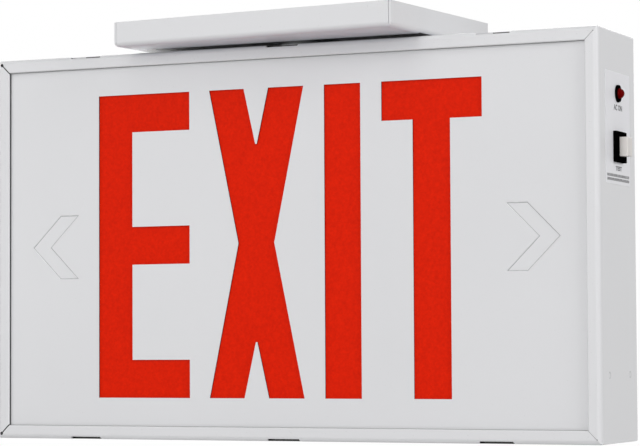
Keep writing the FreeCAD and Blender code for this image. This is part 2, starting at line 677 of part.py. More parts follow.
def make_ground_screw():
    body = new_body("ground_screw")
    head = sketch(body, "top", "-crossbar_thickness")
    hexagon(head, "ground_screw_x", "0", "ground_head_flats")
    pad(body, head, "ground_head_thickness", reverse=True)
    shank = sketch(body, "top", "-crossbar_thickness")
    circle(shank, "ground_screw_x", "0", "screw_radius")
    pad(body, shank, "crossbar_thickness - nipple_top_gap")
    return body


NIPPLE_LOW = ("-(canopy_height + canopy_gap + sheet_thickness + tray_thickness"
              " + locknut_thickness + nipple_end)")


def make_bushing():
    """Plastic bushing in the nipple's lower mouth, so that its rim can't cut the wires."""
    body = new_body("wire_bushing")
    lip = sketch(body, "top", NIPPLE_LOW)
    bore = "nipple_bore_radius - bushing_clearance - bushing_wall"
    circle(lip, "0", "0", "nipple_radius")
    circle(lip, "0", "0", bore)
    pad(body, lip, "bushing_lip", reverse=True)
    sleeve = sketch(body, "top", NIPPLE_LOW)
    circle(sleeve, "0", "0", "nipple_bore_radius - bushing_clearance")
    circle(sleeve, "0", "0", bore)
    pad(body, sleeve, "bushing_length")
    return body


# ------------------------------------------------------------------------------------------
# Reflector tray and what it carries
# ------------------------------------------------------------------------------------------
LED_SCREWS = [("%d * %s" % (step, LED_PITCH), level)
              for level in ("led_row_height", "-led_row_height")
              for step in (-LED_SCREW_STEPS, 0, LED_SCREW_STEPS)]
BOARD_HOLES = [("driver_x %s (driver_width / 2 - standoff_inset)" % sx,
                "driver_z %s (driver_height / 2 - standoff_inset)" % sz)
               for sx in ("-", "+") for sz in ("-", "+")]
STRAP_HOLES = [("battery_x", "battery_z %s ((3 * cell_radius) + strap_clearance"
                " + strap_thickness + (strap_foot - strap_thickness) / 2)" % sz)
               for sz in ("-", "+")]


def make_tray():
    """A C-shaped tray across the housing.  Its top flange is clamped under the top wall by
    the nipple's nut and its bottom flange stands on the bottom wall."""
    body = new_body("reflector_tray")
    profile = sketch(body, "side")
    front = "-tray_front"
    back = "-tray_front + tray_flange"
    top = "housing_height / 2 - sheet_thickness"
    low = "-(%s)" % top
    outline(profile, [(front, low), (back, low), (back, low + " + tray_thickness"),
                      (front + " + tray_thickness", low + " + tray_thickness"),
                      (front + " + tray_thickness", top + " - tray_thickness"),
                      (back, top + " - tray_thickness"), (back, top), (front, top)])
    strip = pad(body, profile, TRAY_WIDTH, both=True)
    face = -VALUE["tray_front"]
    folds = round_edges(body, strip, "tray_bend",
                        lambda edge: along("X")(edge) and abs(edge.BoundBox.YMin - face) < 1e-4)
    inner = face + VALUE["tray_thickness"]
    round_edges(body, folds, "tray_bend - tray_thickness",
                lambda edge: along("X")(edge) and abs(edge.BoundBox.YMin - inner) < 1e-4)
    drawing = sketch(body, "top", "housing_height / 2")
    circle(drawing, "0", "0", "nipple_radius + nipple_clearance")
    pocket(body, drawing, "sheet_thickness + tray_thickness + 1")
    drawing = sketch(body, "front", "tray_front")
    circle(drawing, "grommet_x", "grommet_z", "grommet_hole_radius")
    for x, z in LED_SCREWS + BOARD_HOLES + STRAP_HOLES:
        circle(drawing, x, z, "screw_radius + thread_clearance")
    pocket(body, drawing, "tray_thickness + 1")
    return body


def make_grommet():
    body = new_body("tray_grommet")
    groove = sketch(body, "front", "tray_front + grommet_clearance")
    circle(groove, "grommet_x", "grommet_z", "grommet_hole_radius - grommet_clearance")
    circle(groove, "grommet_x", "grommet_z", "grommet_bore_radius")
    pad(body, groove, "tray_thickness + 2 * grommet_clearance", reverse=True)
    for offset, back in (("tray_front + grommet_clearance", False),
                         (TRAY_BACK + " - grommet_clearance", True)):
        lip = sketch(body, "front", offset)
        circle(lip, "grommet_x", "grommet_z", "grommet_hole_radius + grommet_lip")
        circle(lip, "grommet_x", "grommet_z", "grommet_bore_radius")
        pad(body, lip, "grommet_lip", reverse=back)
    return body


def make_led_board(name, level):
    body = new_body(name)
    drawing = sketch(body, "front", "tray_front")
    centred_rectangle(drawing, LED_BOARD_LENGTH, "led_board_height", y=level)
    for x, z in LED_SCREWS:
        if z == level:
            circle(drawing, x, z, "screw_radius + screw_clearance")
    pad(body, drawing, "board_thickness")
    return body


def make_leds(name, level):
    body = new_body(name)
    drawing = sketch(body, "front", "tray_front + board_thickness")
    for i in range(LED_COUNT):
        centred_rectangle(drawing, "led_size", "led_size",
                          x="%.1f * %s" % (i - (LED_COUNT - 1) / 2, LED_PITCH), y=level)
    pad(body, drawing, "led_thickness")
    return body


def make_driver_board():
    body = new_body("driver_board")
    drawing = sketch(body, "front", TRAY_BACK + " - standoff_height")
    centred_rectangle(drawing, "driver_width", "driver_height", x="driver_x", y="driver_z")
    for x, z in BOARD_HOLES:
        circle(drawing, x, z, "screw_radius + screw_clearance")
    pad(body, drawing, "board_thickness", reverse=True)
    return body


def make_standoffs():
    body = new_body("board_standoffs")
    drawing = sketch(body, "front", TRAY_BACK)
    for x, z in BOARD_HOLES:
        circle(drawing, x, z, "standoff_radius")
        circle(drawing, x, z, "screw_radius + thread_clearance")
    pad(body, drawing, "standoff_height", reverse=True)
    return body


def board_box(name, part, body=None):
    """A box that stands on the driver board, placed and sized by its rows of the sheet."""
    body = body or new_body(name)
    drawing = sketch(body, "front", BOARD_BACK)
    centred_rectangle(drawing, part + "_width", part + "_height", x=PART_X[part],
                      y=PART_Z[part])
    pad(body, drawing, part + "_depth", reverse=True)
    return body


def make_transformer():
    """Core stack with the winding through its two windows; core and winding are two pieces."""
    core = new_body("transformer_core")
    drawing = sketch(core, "side", PART_X["transformer_core"])
    near = "-(%s)" % BOARD_BACK
    far = near + " + transformer_core_depth"
    low = PART_Z["transformer_core"] + " - transformer_core_width / 2"
    high = PART_Z["transformer_core"] + " + transformer_core_width / 2"
    rectangle(drawing, near, far, low, high)
    limb = "(transformer_core_depth - core_window) / 3"
    for start in ("%s + %s" % (near, limb), "%s + 2 * %s + core_window / 2" % (near, limb)):
        rectangle(drawing, start, "%s + core_window / 2" % start, low + " + " + limb,
                  high + " - " + limb)
    pad(core, drawing, "transformer_core_height", both=True)
    return core


def make_winding():
    body = new_body("transformer_winding")
    middle = "(-(%s) + transformer_core_depth / 2)" % BOARD_BACK
    limb = "(transformer_core_depth - core_window) / 3"
    slack = "2 * thread_clearance"
    drawing = sketch(body, "front", "-%s" % middle)
    inner = "transformer_core_width - 2 * %s - %s" % (limb, slack)
    centred_rectangle(drawing, "coil_width", inner, x=PART_X["transformer_core"],
                      y=PART_Z["transformer_core"])
    block = pad(body, drawing, "%s + core_window - %s" % (limb, slack), both=True)
    round_edges(body, block, "corner_radius", along("Z"))
    drawing = sketch(body, "side", PART_X["transformer_core"])
    centred_rectangle(drawing, "%s + %s" % (limb, slack), "transformer_core_width", x=middle,
                      y=PART_Z["transformer_core"])
    hole = pocket(body, drawing, "transformer_core_height + " + slack)
    hole.SideType = "Symmetric"
    return body


def make_capacitors():
    body = new_body("filter_capacitors")
    drawing = sketch(body, "front", BOARD_BACK)
    for i in range(CAPACITOR_COUNT):
        circle(drawing, "%s + (1 / 2 - %d) * capacitor_pitch" % (PART_X["regulator"], i),
               PART_Z["terminal_block"], "capacitor_radius")
    pad(body, drawing, "capacitor_height", reverse=True)
    return body


def make_terminal_block():
    body = board_box("supply_terminal_block", "terminal_block")
    wells = sketch(body, "front", "%s - terminal_block_depth" % BOARD_BACK)
    for i in range(TERMINAL_COUNT):
        circle(wells, "%s + %d * terminal_block_width / %d"
               % (PART_X["terminal_block"], i - TERMINAL_COUNT // 2, TERMINAL_COUNT),
               PART_Z["terminal_block"], "terminal_well_radius")
    pocket(body, wells, "terminal_well_depth", reverse=True)
    return body


def make_sockets():
    body = new_body("lead_sockets")
    for part in ("battery_socket", "led_socket", "switch_socket", "lamp_socket"):
        board_box("lead_sockets", part, body)
    return body


def make_battery():
    """Three cells side by side in one shrink sleeve, which bridges the valleys between them."""
    body = new_body("battery_pack")
    middle = "(-(%s) + cell_radius)" % TRAY_BACK
    for i in range(CELL_COUNT):
        cell = sketch(body, "side", "battery_x - cell_length / 2")
        circle(cell, middle, "battery_z + %d * 2 * cell_radius" % (i - CELL_COUNT // 2),
               "cell_radius")
        pad(body, cell, "cell_length")
    sleeve = sketch(body, "side", "battery_x - cell_length / 2")
    centred_rectangle(sleeve, "2 * sleeve_fill", "2 * cell_radius * %d" % (CELL_COUNT - 1),
                      x=middle, y="battery_z")
    pad(body, sleeve, "cell_length")
    return body


def make_strap():
    """A strap folded over the battery, with a screwed foot above and below it."""
    body = new_body("battery_strap")
    drawing = sketch(body, "side", "battery_x")
    near = "-(%s)" % TRAY_BACK
    crest = near + " + 2 * cell_radius + strap_clearance"
    inner = "(3 * cell_radius + strap_clearance)"
    foot = "(3 * cell_radius + strap_clearance + strap_foot)"
    thick = "strap_thickness"
    outer = "(3 * cell_radius + strap_clearance + strap_thickness)"
    outline(drawing, [(near, "battery_z - " + foot), (near + " + " + thick, "battery_z - " + foot),
                      (near + " + " + thick, "battery_z - " + outer),
                      (crest + " + " + thick, "battery_z - " + outer),
                      (crest + " + " + thick, "battery_z + " + outer),
                      (near + " + " + thick, "battery_z + " + outer),
                      (near + " + " + thick, "battery_z + " + foot), (near, "battery_z + " + foot),
                      (near, "battery_z + " + inner), (crest, "battery_z + " + inner),
                      (crest, "battery_z - " + inner), (near, "battery_z - " + inner)])
    pad(body, drawing, "strap_width", both=True)
    holes = sketch(body, "front", TRAY_BACK)
    for x, z in STRAP_HOLES:
        circle(holes, x, z, "screw_radius + screw_clearance")
    pocket(body, holes, "strap_thickness + 0.5")
    return body


# ------------------------------------------------------------------------------------------
# Right wall: label, test switch and mains lamp
# ------------------------------------------------------------------------------------------
LABEL_FACE = "(housing_width / 2 + label_thickness)"
BODY_WIDTH = "(bezel_width - 2 * switch_ledge)"
BODY_HEIGHT = "(bezel_height - 2 * switch_ledge)"
WALL_INSIDE = "(housing_width / 2 - sheet_thickness)"


def make_label():
    body = new_body("side_label")
    drawing = sketch(body, "side", HALF_WIDTH)
    centred_rectangle(drawing, "label_width", "label_height", y="label_z")
    centred_rectangle(drawing, BODY_WIDTH + " + 2 * switch_clearance",
                      BODY_HEIGHT + " + 2 * switch_clearance", y="switch_z")
    circle(drawing, "0", "lamp_z", "holder_radius + holder_clearance")
    pad(body, drawing, "label_thickness")
    return body


def make_switch_body():
    """Moulded switch body: a bezel outside the wall, a body behind it and a blind well for
    the button."""
    body = new_body("switch_body")
    drawing = sketch(body, "side", LABEL_FACE)
    centred_rectangle(drawing, "bezel_width", "bezel_height", y="switch_z")
    bezel = pad(body, drawing, "bezel_proud")
    front = VALUE["housing_width"] / 2 + VALUE["label_thickness"] + VALUE["bezel_proud"]
    round_edges(body, bezel, "bezel_round", in_plane("X", front))
    drawing = sketch(body, "side", LABEL_FACE)
    centred_rectangle(drawing, BODY_WIDTH, BODY_HEIGHT, y="switch_z")
    pad(body, drawing, "switch_depth", reverse=True)
    drawing = sketch(body, "side", LABEL_FACE + " + bezel_proud")
    centred_rectangle(drawing, "button_width + 2 * button_clearance",
                      "button_height + 2 * button_clearance", y="switch_z")
    pocket(body, drawing, "button_depth + button_travel + button_floor_gap")
    return body


def make_button():
    body = new_body("test_button")
    drawing = sketch(body, "side", LABEL_FACE + " + bezel_proud + button_proud")
    centred_rectangle(drawing, "button_width", "button_height", y="switch_z")
    block = pad(body, drawing, "button_proud + button_depth", reverse=True)
    front = (VALUE["housing_width"] / 2 + VALUE["label_thickness"] + VALUE["bezel_proud"]
             + VALUE["button_proud"])
    round_edges(body, block, "button_round", in_plane("X", front))
    return body


def make_switch_clip():
    """Spring frame pushed over the body from inside, which pulls the bezel to the wall."""
    body = new_body("switch_clip")
    drawing = sketch(body, "side", WALL_INSIDE)
    centred_rectangle(drawing, BODY_WIDTH + " + 2 * clip_margin",
                      BODY_HEIGHT + " + 2 * clip_margin", y="switch_z")
    centred_rectangle(drawing, BODY_WIDTH + " + 2 * switch_clearance",
                      BODY_HEIGHT + " + 2 * switch_clearance", y="switch_z")
    pad(body, drawing, "clip_thickness", reverse=True)
    return body


def make_blades():
    body = new_body("switch_terminals")
    drawing = sketch(body, "side", LABEL_FACE + " - switch_depth")
    for side in ("", "-"):
        centred_rectangle(drawing, "blade_width", "blade_thickness",
                          y="switch_z + %sblade_spacing / 2" % side)
    pad(body, drawing, "blade_length", reverse=True)
    return body


def make_lamp_holder():
    body = new_body("lamp_holder")
    flange = sketch(body, "side", LABEL_FACE)
    circle(flange, "0", "lamp_z", "holder_flange_radius")
    circle(flange, "0", "lamp_z", "lamp_radius + thread_clearance")
    pad(body, flange, "holder_flange")
    barrel = sketch(body, "side", LABEL_FACE)
    circle(barrel, "0", "lamp_z", "holder_radius")
    circle(barrel, "0", "lamp_z", "lamp_radius + thread_clearance")
    pad(body, barrel, "holder_length", reverse=True)
    return body


def make_lamp():
    """A 5 mm lens with a round end, turned about its own axis."""
    body = new_body("indicator_lamp")
    profile = sketch(body, "top")
    back = "housing_width / 2 + lamp_rise - lamp_length"
    crown = "housing_width / 2 + lamp_rise"
    start = profile.GeometryCount
    profile.addGeometry(Part.LineSegment(Vector(0, 0, 0), Vector(0, 1, 0)), False)
    profile.addGeometry(Part.LineSegment(Vector(0, 1, 0), Vector(3, 1, 0)), False)
    dome = Part.Circle(Vector(3, 0, 0), Vector(0, 0, 1), 1.0)
    profile.addGeometry(Part.ArcOfCircle(dome, 0.0, math.pi / 2), False)
    profile.addGeometry(Part.LineSegment(Vector(4, 0, 0), Vector(0, 0, 0)), False)
    pin(profile, start, 1, back, "0")
    pin(profile, start, 2, back, "lamp_radius")
    pin(profile, start + 2, 3, crown, "0")
    pin(profile, start + 2, 2, crown, "lamp_radius")
    profile.addConstraint(Sketcher.Constraint("Coincident", start, 2, start + 1, 1))
    profile.addConstraint(Sketcher.Constraint("Coincident", start + 1, 2, start + 2, 2))
    profile.addConstraint(Sketcher.Constraint("Coincident", start + 2, 1, start + 3, 1))
    profile.addConstraint(Sketcher.Constraint("Coincident", start + 3, 2, start, 1))
    profile.addConstraint(Sketcher.Constraint("PointOnObject", start + 3, 1, -1))
    lens = body.newObject("PartDesign::Revolution", "lamp_turn")
    lens.Profile = (profile, [""])
    lens.ReferenceAxis = (profile, ["H_Axis"])
    return body


def make_lamp_ring():
    body = new_body("lamp_ring")
    drawing = sketch(body, "side", WALL_INSIDE)
    circle(drawing, "0", "lamp_z", "ring_radius")
    circle(drawing, "0", "lamp_z", "holder_radius + thread_clearance")
    pad(body, drawing, "ring_height", reverse=True)
    return body


# ------------------------------------------------------------------------------------------
# Leads inside the housing: single-core wires on straight runs, bent at each corner
# ------------------------------------------------------------------------------------------
LEAD_SIDES = 6


def make_leads(name, routes):
    """One solid for each wire of a pair, of a plain section mitred round its corners."""
    wires = []
    for points in routes:
        path = Part.makePolygon(points)
        heading = points[1] - points[0]
        across = heading.cross(Vector(0, 0, 1)).normalize() * VALUE["lead_radius"]
        ring = [points[0] + FreeCAD.Rotation(heading, 360.0 * i / LEAD_SIDES).multVec(across)
                for i in range(LEAD_SIDES)]
        section = Part.makePolygon(ring + ring[:1])
        wires.append(path.makePipeShell([section], True, False, 1))
    piece = doc.addObject("Part::Feature", name)
    piece.Shape = Part.makeCompound(wires)
    return piece


def lead_routes():
    """Routes of the four pairs, from the board's sockets to the pieces that they feed."""
    size = VALUE
    board_back = -(size["tray_front"] - size["tray_thickness"] - size["standoff_height"]
                   - size["board_thickness"])
    level = board_back + size["socket_entry"]
    run = size["lead_run"]
    battery_end = size["battery_x"] + size["cell_length"] / 2
    battery_middle = -(size["tray_front"] - size["tray_thickness"]) + size["cell_radius"]
    before_board = -(size["tray_front"] + size["board_thickness"] + size["lead_stand"])
    solder_z = size["led_row_height"] + size["led_board_height"] / 2 - size["solder_inset"]
    blade = (size["housing_width"] / 2 + size["label_thickness"] - size["switch_depth"]
             - size["blade_length"])
    tail = size["housing_width"] / 2 + size["lamp_rise"] - size["lamp_length"]

    def socket(part, side):
        half_width = size["driver_width"] / 2
        x = size["driver_x"] + side * (half_width - size[part + "_inset_x"]
                                       + size[part + "_width"] / 2)
        up = -1 if part == "battery_socket" else 1
        z = size["driver_z"] + up * (size["driver_height"] / 2 - size[part + "_inset_z"])
        return x, z

    routes = {"battery_leads": [], "led_leads": [], "switch_leads": [], "lamp_leads": []}
    for shift in (-size["lead_spacing"] / 2, size["lead_spacing"] / 2):
        x, z = socket("battery_socket", -1)
        z += shift
        end_z = size["battery_z"] + shift
        routes["battery_leads"].append([
            Vector(x, level, z), Vector(x - run, level, z),
            Vector(battery_end + run, battery_middle, end_z),
            Vector(battery_end, battery_middle, end_z)])

        x, z = socket("led_socket", -1)
        z += shift
        through_x = size["grommet_x"] + shift
        through_z = size["grommet_z"]
        routes["led_leads"].append([
            Vector(x, level, z), Vector(x - run, level, z),
            Vector(through_x, level, through_z), Vector(through_x, before_board, through_z),
            Vector(through_x, before_board, solder_z),
            Vector(through_x, before_board + size["lead_stand"], solder_z)])

        x, z = socket("switch_socket", 1)
        z += shift
        blade_z = size["switch_z"] + math.copysign(size["blade_spacing"] / 2, shift)
        routes["switch_leads"].append([
            Vector(x, level, z), Vector(x + run, level, z), Vector(blade - run, 0, blade_z),
            Vector(blade, 0, blade_z)])

        x, z = socket("lamp_socket", 1)
        z += shift
        end_z = size["lamp_z"] + shift
        routes["lamp_leads"].append([
            Vector(x, level, z), Vector(x + run - shift, level, z),
            Vector(x + run - shift, 0, end_z), Vector(tail, 0, end_z)])
    return routes


# ------------------------------------------------------------------------------------------
# Assembly
# ------------------------------------------------------------------------------------------
def in_housing(name, piece):
    """Lower a piece that was drawn about the housing's centre."""
    return place(keep(name, piece), z=HOUSING_Z)


in_housing("housing_frame", make_frame())
in_housing("face_plate", make_face_plate())
in_housing("back_plate", make_back_plate())
in_housing("red_panel", make_panel())
in_housing("panel_retainers", make_retainers())

keep("canopy", make_canopy())
keep("mounting_crossbar", make_crossbar())
keep("ground_screw", make_ground_screw())
keep("crossbar_locknut", locknut("crossbar_locknut", "-(crossbar_thickness + locknut_thickness)"))
keep("canopy_washer", ring_solid("canopy_washer", "-(canopy_height - canopy_sheet)",
                                 "washer_thickness", "washer_radius",
                                 "nipple_radius + nipple_clearance"))
keep("canopy_locknut", locknut("canopy_locknut",
                               "-(canopy_height - canopy_sheet - washer_thickness)"))
keep("spacer_washer", ring_solid("spacer_washer", "-(canopy_height + canopy_gap)", "canopy_gap",
                                 "washer_radius", "nipple_radius + nipple_clearance"))
keep("threaded_nipple", ring_solid("threaded_nipple", NIPPLE_LOW,
                                   "-(%s) - nipple_top_gap" % NIPPLE_LOW, "nipple_radius",
                                   "nipple_bore_radius"))
keep("housing_locknut", locknut("housing_locknut", "-(canopy_height + canopy_gap +"
                                " sheet_thickness + tray_thickness + locknut_thickness)"))
keep("wire_bushing", make_bushing())

in_housing("reflector_tray", make_tray())
in_housing("tray_grommet", make_grommet())
in_housing("led_board_upper", make_led_board("led_board_upper", "led_row_height"))
in_housing("led_board_lower", make_led_board("led_board_lower", "-led_row_height"))
in_housing("led_chips_upper", make_leds("led_chips_upper", "led_row_height"))
in_housing("led_chips_lower", make_leds("led_chips_lower", "-led_row_height"))
in_housing("led_board_screws", screws("led_board_screws", "front", "tray_front + board_thickness",
                                      LED_SCREWS, "board_thickness + tray_thickness + screw_end"))
in_housing("driver_board", make_driver_board())
in_housing("board_standoffs", make_standoffs())
in_housing("board_screws", screws("board_screws", "front", BOARD_BACK, BOARD_HOLES,
                                  "board_thickness + standoff_height + tray_thickness",
                                  heads_along=False))
in_housing("transformer_core", make_transformer())
in_housing("transformer_winding", make_winding())
in_housing("relay", board_box("relay", "relay"))
in_housing("voltage_regulator", board_box("voltage_regulator", "regulator"))
in_housing("filter_capacitors", make_capacitors())
in_housing("supply_terminal_block", make_terminal_block())
in_housing("lead_sockets", make_sockets())
in_housing("battery_pack", make_battery())
in_housing("battery_strap", make_strap())
in_housing("strap_screws", screws("strap_screws", "front", TRAY_BACK + " - strap_thickness",
                                  STRAP_HOLES, "strap_thickness + tray_thickness + screw_end",
                                  heads_along=False))

in_housing("side_label", make_label())
in_housing("switch_body", make_switch_body())
in_housing("test_button", make_button())
in_housing("switch_clip", make_switch_clip())
in_housing("switch_terminals", make_blades())
in_housing("lamp_holder", make_lamp_holder())
lamp_level = "lamp_z + %s" % HOUSING_Z
place(keep("indicator_lamp", make_lamp()), z=lamp_level)
in_housing("lamp_ring", make_lamp_ring())
for lead_name, lead_points in lead_routes().items():
    in_housing(lead_name, make_leads(lead_name, lead_points))

doc.recompute()
for item in doc.Objects:
    if "Invalid" in item.State or "Error" in item.State:
        raise RuntimeError("%s did not build: %s" % (item.Name, item.State))
os.makedirs("parts", exist_ok=True)
for name, piece in NODES.items():
    if piece.Shape.isNull() or not piece.Shape.isValid() or not piece.Shape.Solids:
        raise RuntimeError(name + " has no valid solid")
    piece.Shape.exportStep("parts/%s.step" % name)
    print("%-22s %2d solids %10.1f mm3" % (name, len(piece.Shape.Solids), piece.Shape.Volume))
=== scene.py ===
# %% [markdown]
# # Emergency exit light
#
# The CAD model already holds every shape of this ceiling-hung sign at its real size: the folded
# steel box, the stencil plate, the canopy and the works inside.  Blender's part is the look.  The
# script gives every CAD node a procedural material, prints the captions of the side label, and
# lights the whole in a pale studio.  Nothing is remodelled here, because a visible shape that
# differs from the CAD would no longer be the part.
#
# The frame comes first.  Its nodes sit where the CAD put them, in metres, with the ceiling at
# z = 0, the reader's right at +X and the reader at -Y.

# %% Load the frame and note its size
import json
import math

import bmesh
import bpy
from mathutils import Matrix, Vector

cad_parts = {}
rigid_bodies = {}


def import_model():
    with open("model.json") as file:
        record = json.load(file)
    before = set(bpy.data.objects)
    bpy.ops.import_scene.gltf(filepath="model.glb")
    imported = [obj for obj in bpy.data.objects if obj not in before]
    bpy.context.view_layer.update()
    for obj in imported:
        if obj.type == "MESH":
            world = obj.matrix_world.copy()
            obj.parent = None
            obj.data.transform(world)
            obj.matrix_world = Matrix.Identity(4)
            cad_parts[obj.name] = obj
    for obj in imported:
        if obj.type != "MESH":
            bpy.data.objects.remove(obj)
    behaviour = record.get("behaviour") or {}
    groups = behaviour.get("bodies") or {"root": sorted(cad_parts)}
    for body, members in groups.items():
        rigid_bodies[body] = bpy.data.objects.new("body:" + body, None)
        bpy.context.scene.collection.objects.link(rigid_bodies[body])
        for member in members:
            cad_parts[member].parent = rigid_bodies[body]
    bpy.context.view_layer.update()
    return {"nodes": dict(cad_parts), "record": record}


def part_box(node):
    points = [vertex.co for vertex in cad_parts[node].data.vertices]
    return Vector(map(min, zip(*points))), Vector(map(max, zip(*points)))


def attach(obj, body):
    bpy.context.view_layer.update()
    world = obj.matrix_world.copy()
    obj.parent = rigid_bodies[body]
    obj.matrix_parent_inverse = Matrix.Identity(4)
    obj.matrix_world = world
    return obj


for leftover in list(bpy.data.objects):
    bpy.data.objects.remove(leftover)

MM = 1000.0  # millimetres in a metre
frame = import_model()
NODES = frame["nodes"]

# %% [markdown]
# ## Helpers for materials
#
# A procedural material is a graph of nodes.  It can be drawn by hand in the shader editor, or
# made in code with one line for each node and each link, but neither reads well once a pattern
# needs twenty nodes.  A `Flow` wraps one output socket instead.  Sums, products and comparisons
# of flows add Math nodes for numbers, Vector Math nodes for vectors and Mix nodes for colours,
# so a material reads as a formula.  Any other node is added through `node`.

# %% A wrapper for sockets
# A Mix node has sockets for every kind of data, so its colour sockets go by number.
MIX_FACTOR = 0
MIX_FIRST = 6
MIX_SECOND = 7
MIX_COLOUR = 2


class Flow:
    """One output of a node tree, with arithmetic that adds nodes to the same tree."""

    def __init__(self, tree, socket):
        self.tree = tree
        self.socket = socket

    def node(self, kind, inputs=None, output=0, **settings):
        """Add a node, set it up, feed its inputs by name or number, and return one output."""
        made = self.tree.nodes.new(kind)
        for name, value in settings.items():
            setattr(made, name, value)
        for key, value in (inputs or {}).items():
            if isinstance(value, Flow):
                self.tree.links.new(value.socket, made.inputs[key])
            else:
                made.inputs[key].default_value = value
        return Flow(self.tree, made.outputs[output])

    def calculate(self, operation, left, right):
        """left operation right, as the kind of node that the two values need."""
        kinds = [v.socket.type for v in (left, right) if isinstance(v, Flow)]
        if "RGBA" in kinds:
            sides = [v if isinstance(v, (Flow, tuple)) else (v, v, v, 1.0)
                     for v in (left, right)]
            return self.node("ShaderNodeMix", {MIX_FACTOR: 1.0, MIX_FIRST: sides[0],
                                               MIX_SECOND: sides[1]}, MIX_COLOUR,
                             data_type="RGBA", blend_type=operation)
        if "VECTOR" in kinds:
            sides = [v if isinstance(v, (Flow, tuple)) else (v, v, v) for v in (left, right)]
            return self.node("ShaderNodeVectorMath", {0: sides[0], 1: sides[1]},
                             operation=operation)
        return self.node("ShaderNodeMath", {0: left, 1: right}, operation=operation)

    def __add__(self, other):
        return self.calculate("ADD", self, other)

    def __radd__(self, other):
        return self.calculate("ADD", other, self)

    def __sub__(self, other):
        return self.calculate("SUBTRACT", self, other)

    def __rsub__(self, other):
        return self.calculate("SUBTRACT", other, self)

    def __mul__(self, other):
        return self.calculate("MULTIPLY", self, other)

    def __rmul__(self, other):
        return self.calculate("MULTIPLY", other, self)

    def __truediv__(self, other):
        return self.calculate("DIVIDE", self, other)

    def __rtruediv__(self, other):
        return self.calculate("DIVIDE", other, self)

    def __gt__(self, other):
        return self.calculate("GREATER_THAN", self, other)

    def __lt__(self, other):
        return self.calculate("LESS_THAN", self, other)

    def __neg__(self):
        return self * -1.0

    def __abs__(self):
        return self.node("ShaderNodeMath", {0: self}, operation="ABSOLUTE")

    def larger(self, other):
        return self.node("ShaderNodeMath", {0: self, 1: other}, operation="MAXIMUM")

    def smaller(self, other):
        return self.node("ShaderNodeMath", {0: self, 1: other}, operation="MINIMUM")

    def split(self):
        """The three components of a vector."""
        made = self.node("ShaderNodeSeparateXYZ", {0: self}).socket.node
        return [Flow(self.tree, made.outputs[i]) for i in range(3)]

    def rise(self, low, high):
        """0 below low, 1 above high, and smooth between."""
        return self.node("ShaderNodeMapRange", {"Value": self, "From Min": low, "From Max": high},
                         interpolation_type="SMOOTHSTEP")

    def band(self, low, high, soft):
        """1 between low and high, with edges as soft as soft."""
        return self.rise(low - soft, low + soft) * (1.0 - self.rise(high - soft, high + soft))

    def repeat(self, pitch):
        """The distance from the nearest multiple of pitch."""
        return abs(self.node("ShaderNodeMath", {0: self + pitch / 2, 1: pitch},
                             operation="FLOORED_MODULO") - pitch / 2)

    def noise(self, scale, detail=2.0, roughness=0.5):
        """Soft noise from 0 to 1 on a position, with features about 1 / scale long."""
        return self.node("ShaderNodeTexNoise", {"Vector": self, "Scale": scale, "Detail": detail,
                                                "Roughness": roughness})

    def cells(self, scale, output="Distance"):
        """Cells about 1 / scale wide: the distance from each one's middle, or its own colour."""
        return self.node("ShaderNodeTexVoronoi", {"Vector": self, "Scale": scale}, output)

    def between(self, first, second):
        """A colour that goes from first to second as this flow goes from 0 to 1."""
        return self.node("ShaderNodeMix", {MIX_FACTOR: self, MIX_FIRST: first,
                                           MIX_SECOND: second}, MIX_COLOUR, data_type="RGBA")


def colour(red, green, blue):
    """A linear colour as the sockets want it."""
    return (red, green, blue, 1.0)


print("a colour for a socket:", colour(0.8, 0.8, 0.8))

# %% [markdown]
# A `Finish` is one material.  Numbers that are the same all over go straight onto the shader's
# sockets; what varies is a flow.  Textures could be laid on with UVs, but CAD meshes have none
# and unwrapping folded sheet is slow.  Positions come from the object's own coordinates instead,
# in millimetres, so the grain has the same real size on every piece and moves along with it.

# %% A material with its position and bump
class Finish:
    def __init__(self, name, **uniform):
        self.material = bpy.data.materials.new(name)
        self.material.use_nodes = True
        self.tree = self.material.node_tree
        self.shader = self.tree.nodes["Principled BSDF"]
        for socket, value in uniform.items():
            self.shader.inputs[socket.replace("_", " ")].default_value = value
        where = Flow(self.tree, self.tree.nodes.new("ShaderNodeTexCoord").outputs["Object"])
        self.place = where * MM

    def vary(self, socket, flow):
        """Feed a shader socket with a flow."""
        self.tree.links.new(flow.socket, self.shader.inputs[socket])

    def bump(self, height, depth):
        """Raise the surface by height, from 0 to 1, times depth in millimetres."""
        normal = height.node("ShaderNodeBump", {"Height": height, "Strength": 1.0,
                                                "Distance": depth / MM})
        self.vary("Normal", normal)


FINISHES = {}


def finish(slot, **uniform):
    """Start the finish of one of the record's material slots."""
    made = Finish(slot, **uniform)
    FINISHES[slot] = made.material
    return made


print("finishes so far:", len(FINISHES))

# %% [markdown]
# ## Painted sheet steel
#
# The housing, its plates, the canopy and the tray share a baked white enamel: almost smooth,
# with the shallow peel of a sprayed coat and a very slight drift in tone.  A plain white would
# look like plaster, because it is the peel and the drift that break up the reflections.
#
# Three pieces get a version of their own, with painted shade in their colour: darker or nearly
# black in places where these lamps don't give the shade wanted.  It says nothing of the real
# coat.  It could be painted as a mask image.  It is found by place instead, from the sizes below,
# so it stays crisp however close the camera is.

# %% Sizes that the enamel needs, in millimetres
housing_low, housing_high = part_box("housing_frame")
CENTRE_Z = MM * (housing_low.z + housing_high.z) / 2
HALF_WIDTH = MM * (housing_high.x - housing_low.x) / 2
HALF_DEPTH = MM * (housing_high.y - housing_low.y) / 2
HALF_HEIGHT = MM * (housing_high.z - housing_low.z) / 2
PLATE_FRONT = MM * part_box("face_plate")[0].y
CANOPY_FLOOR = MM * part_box("canopy")[0].z
DIAGONAL = math.sqrt(2)
print("housing half sizes:", round(HALF_WIDTH, 2), round(HALF_DEPTH, 2), round(HALF_HEIGHT, 2))
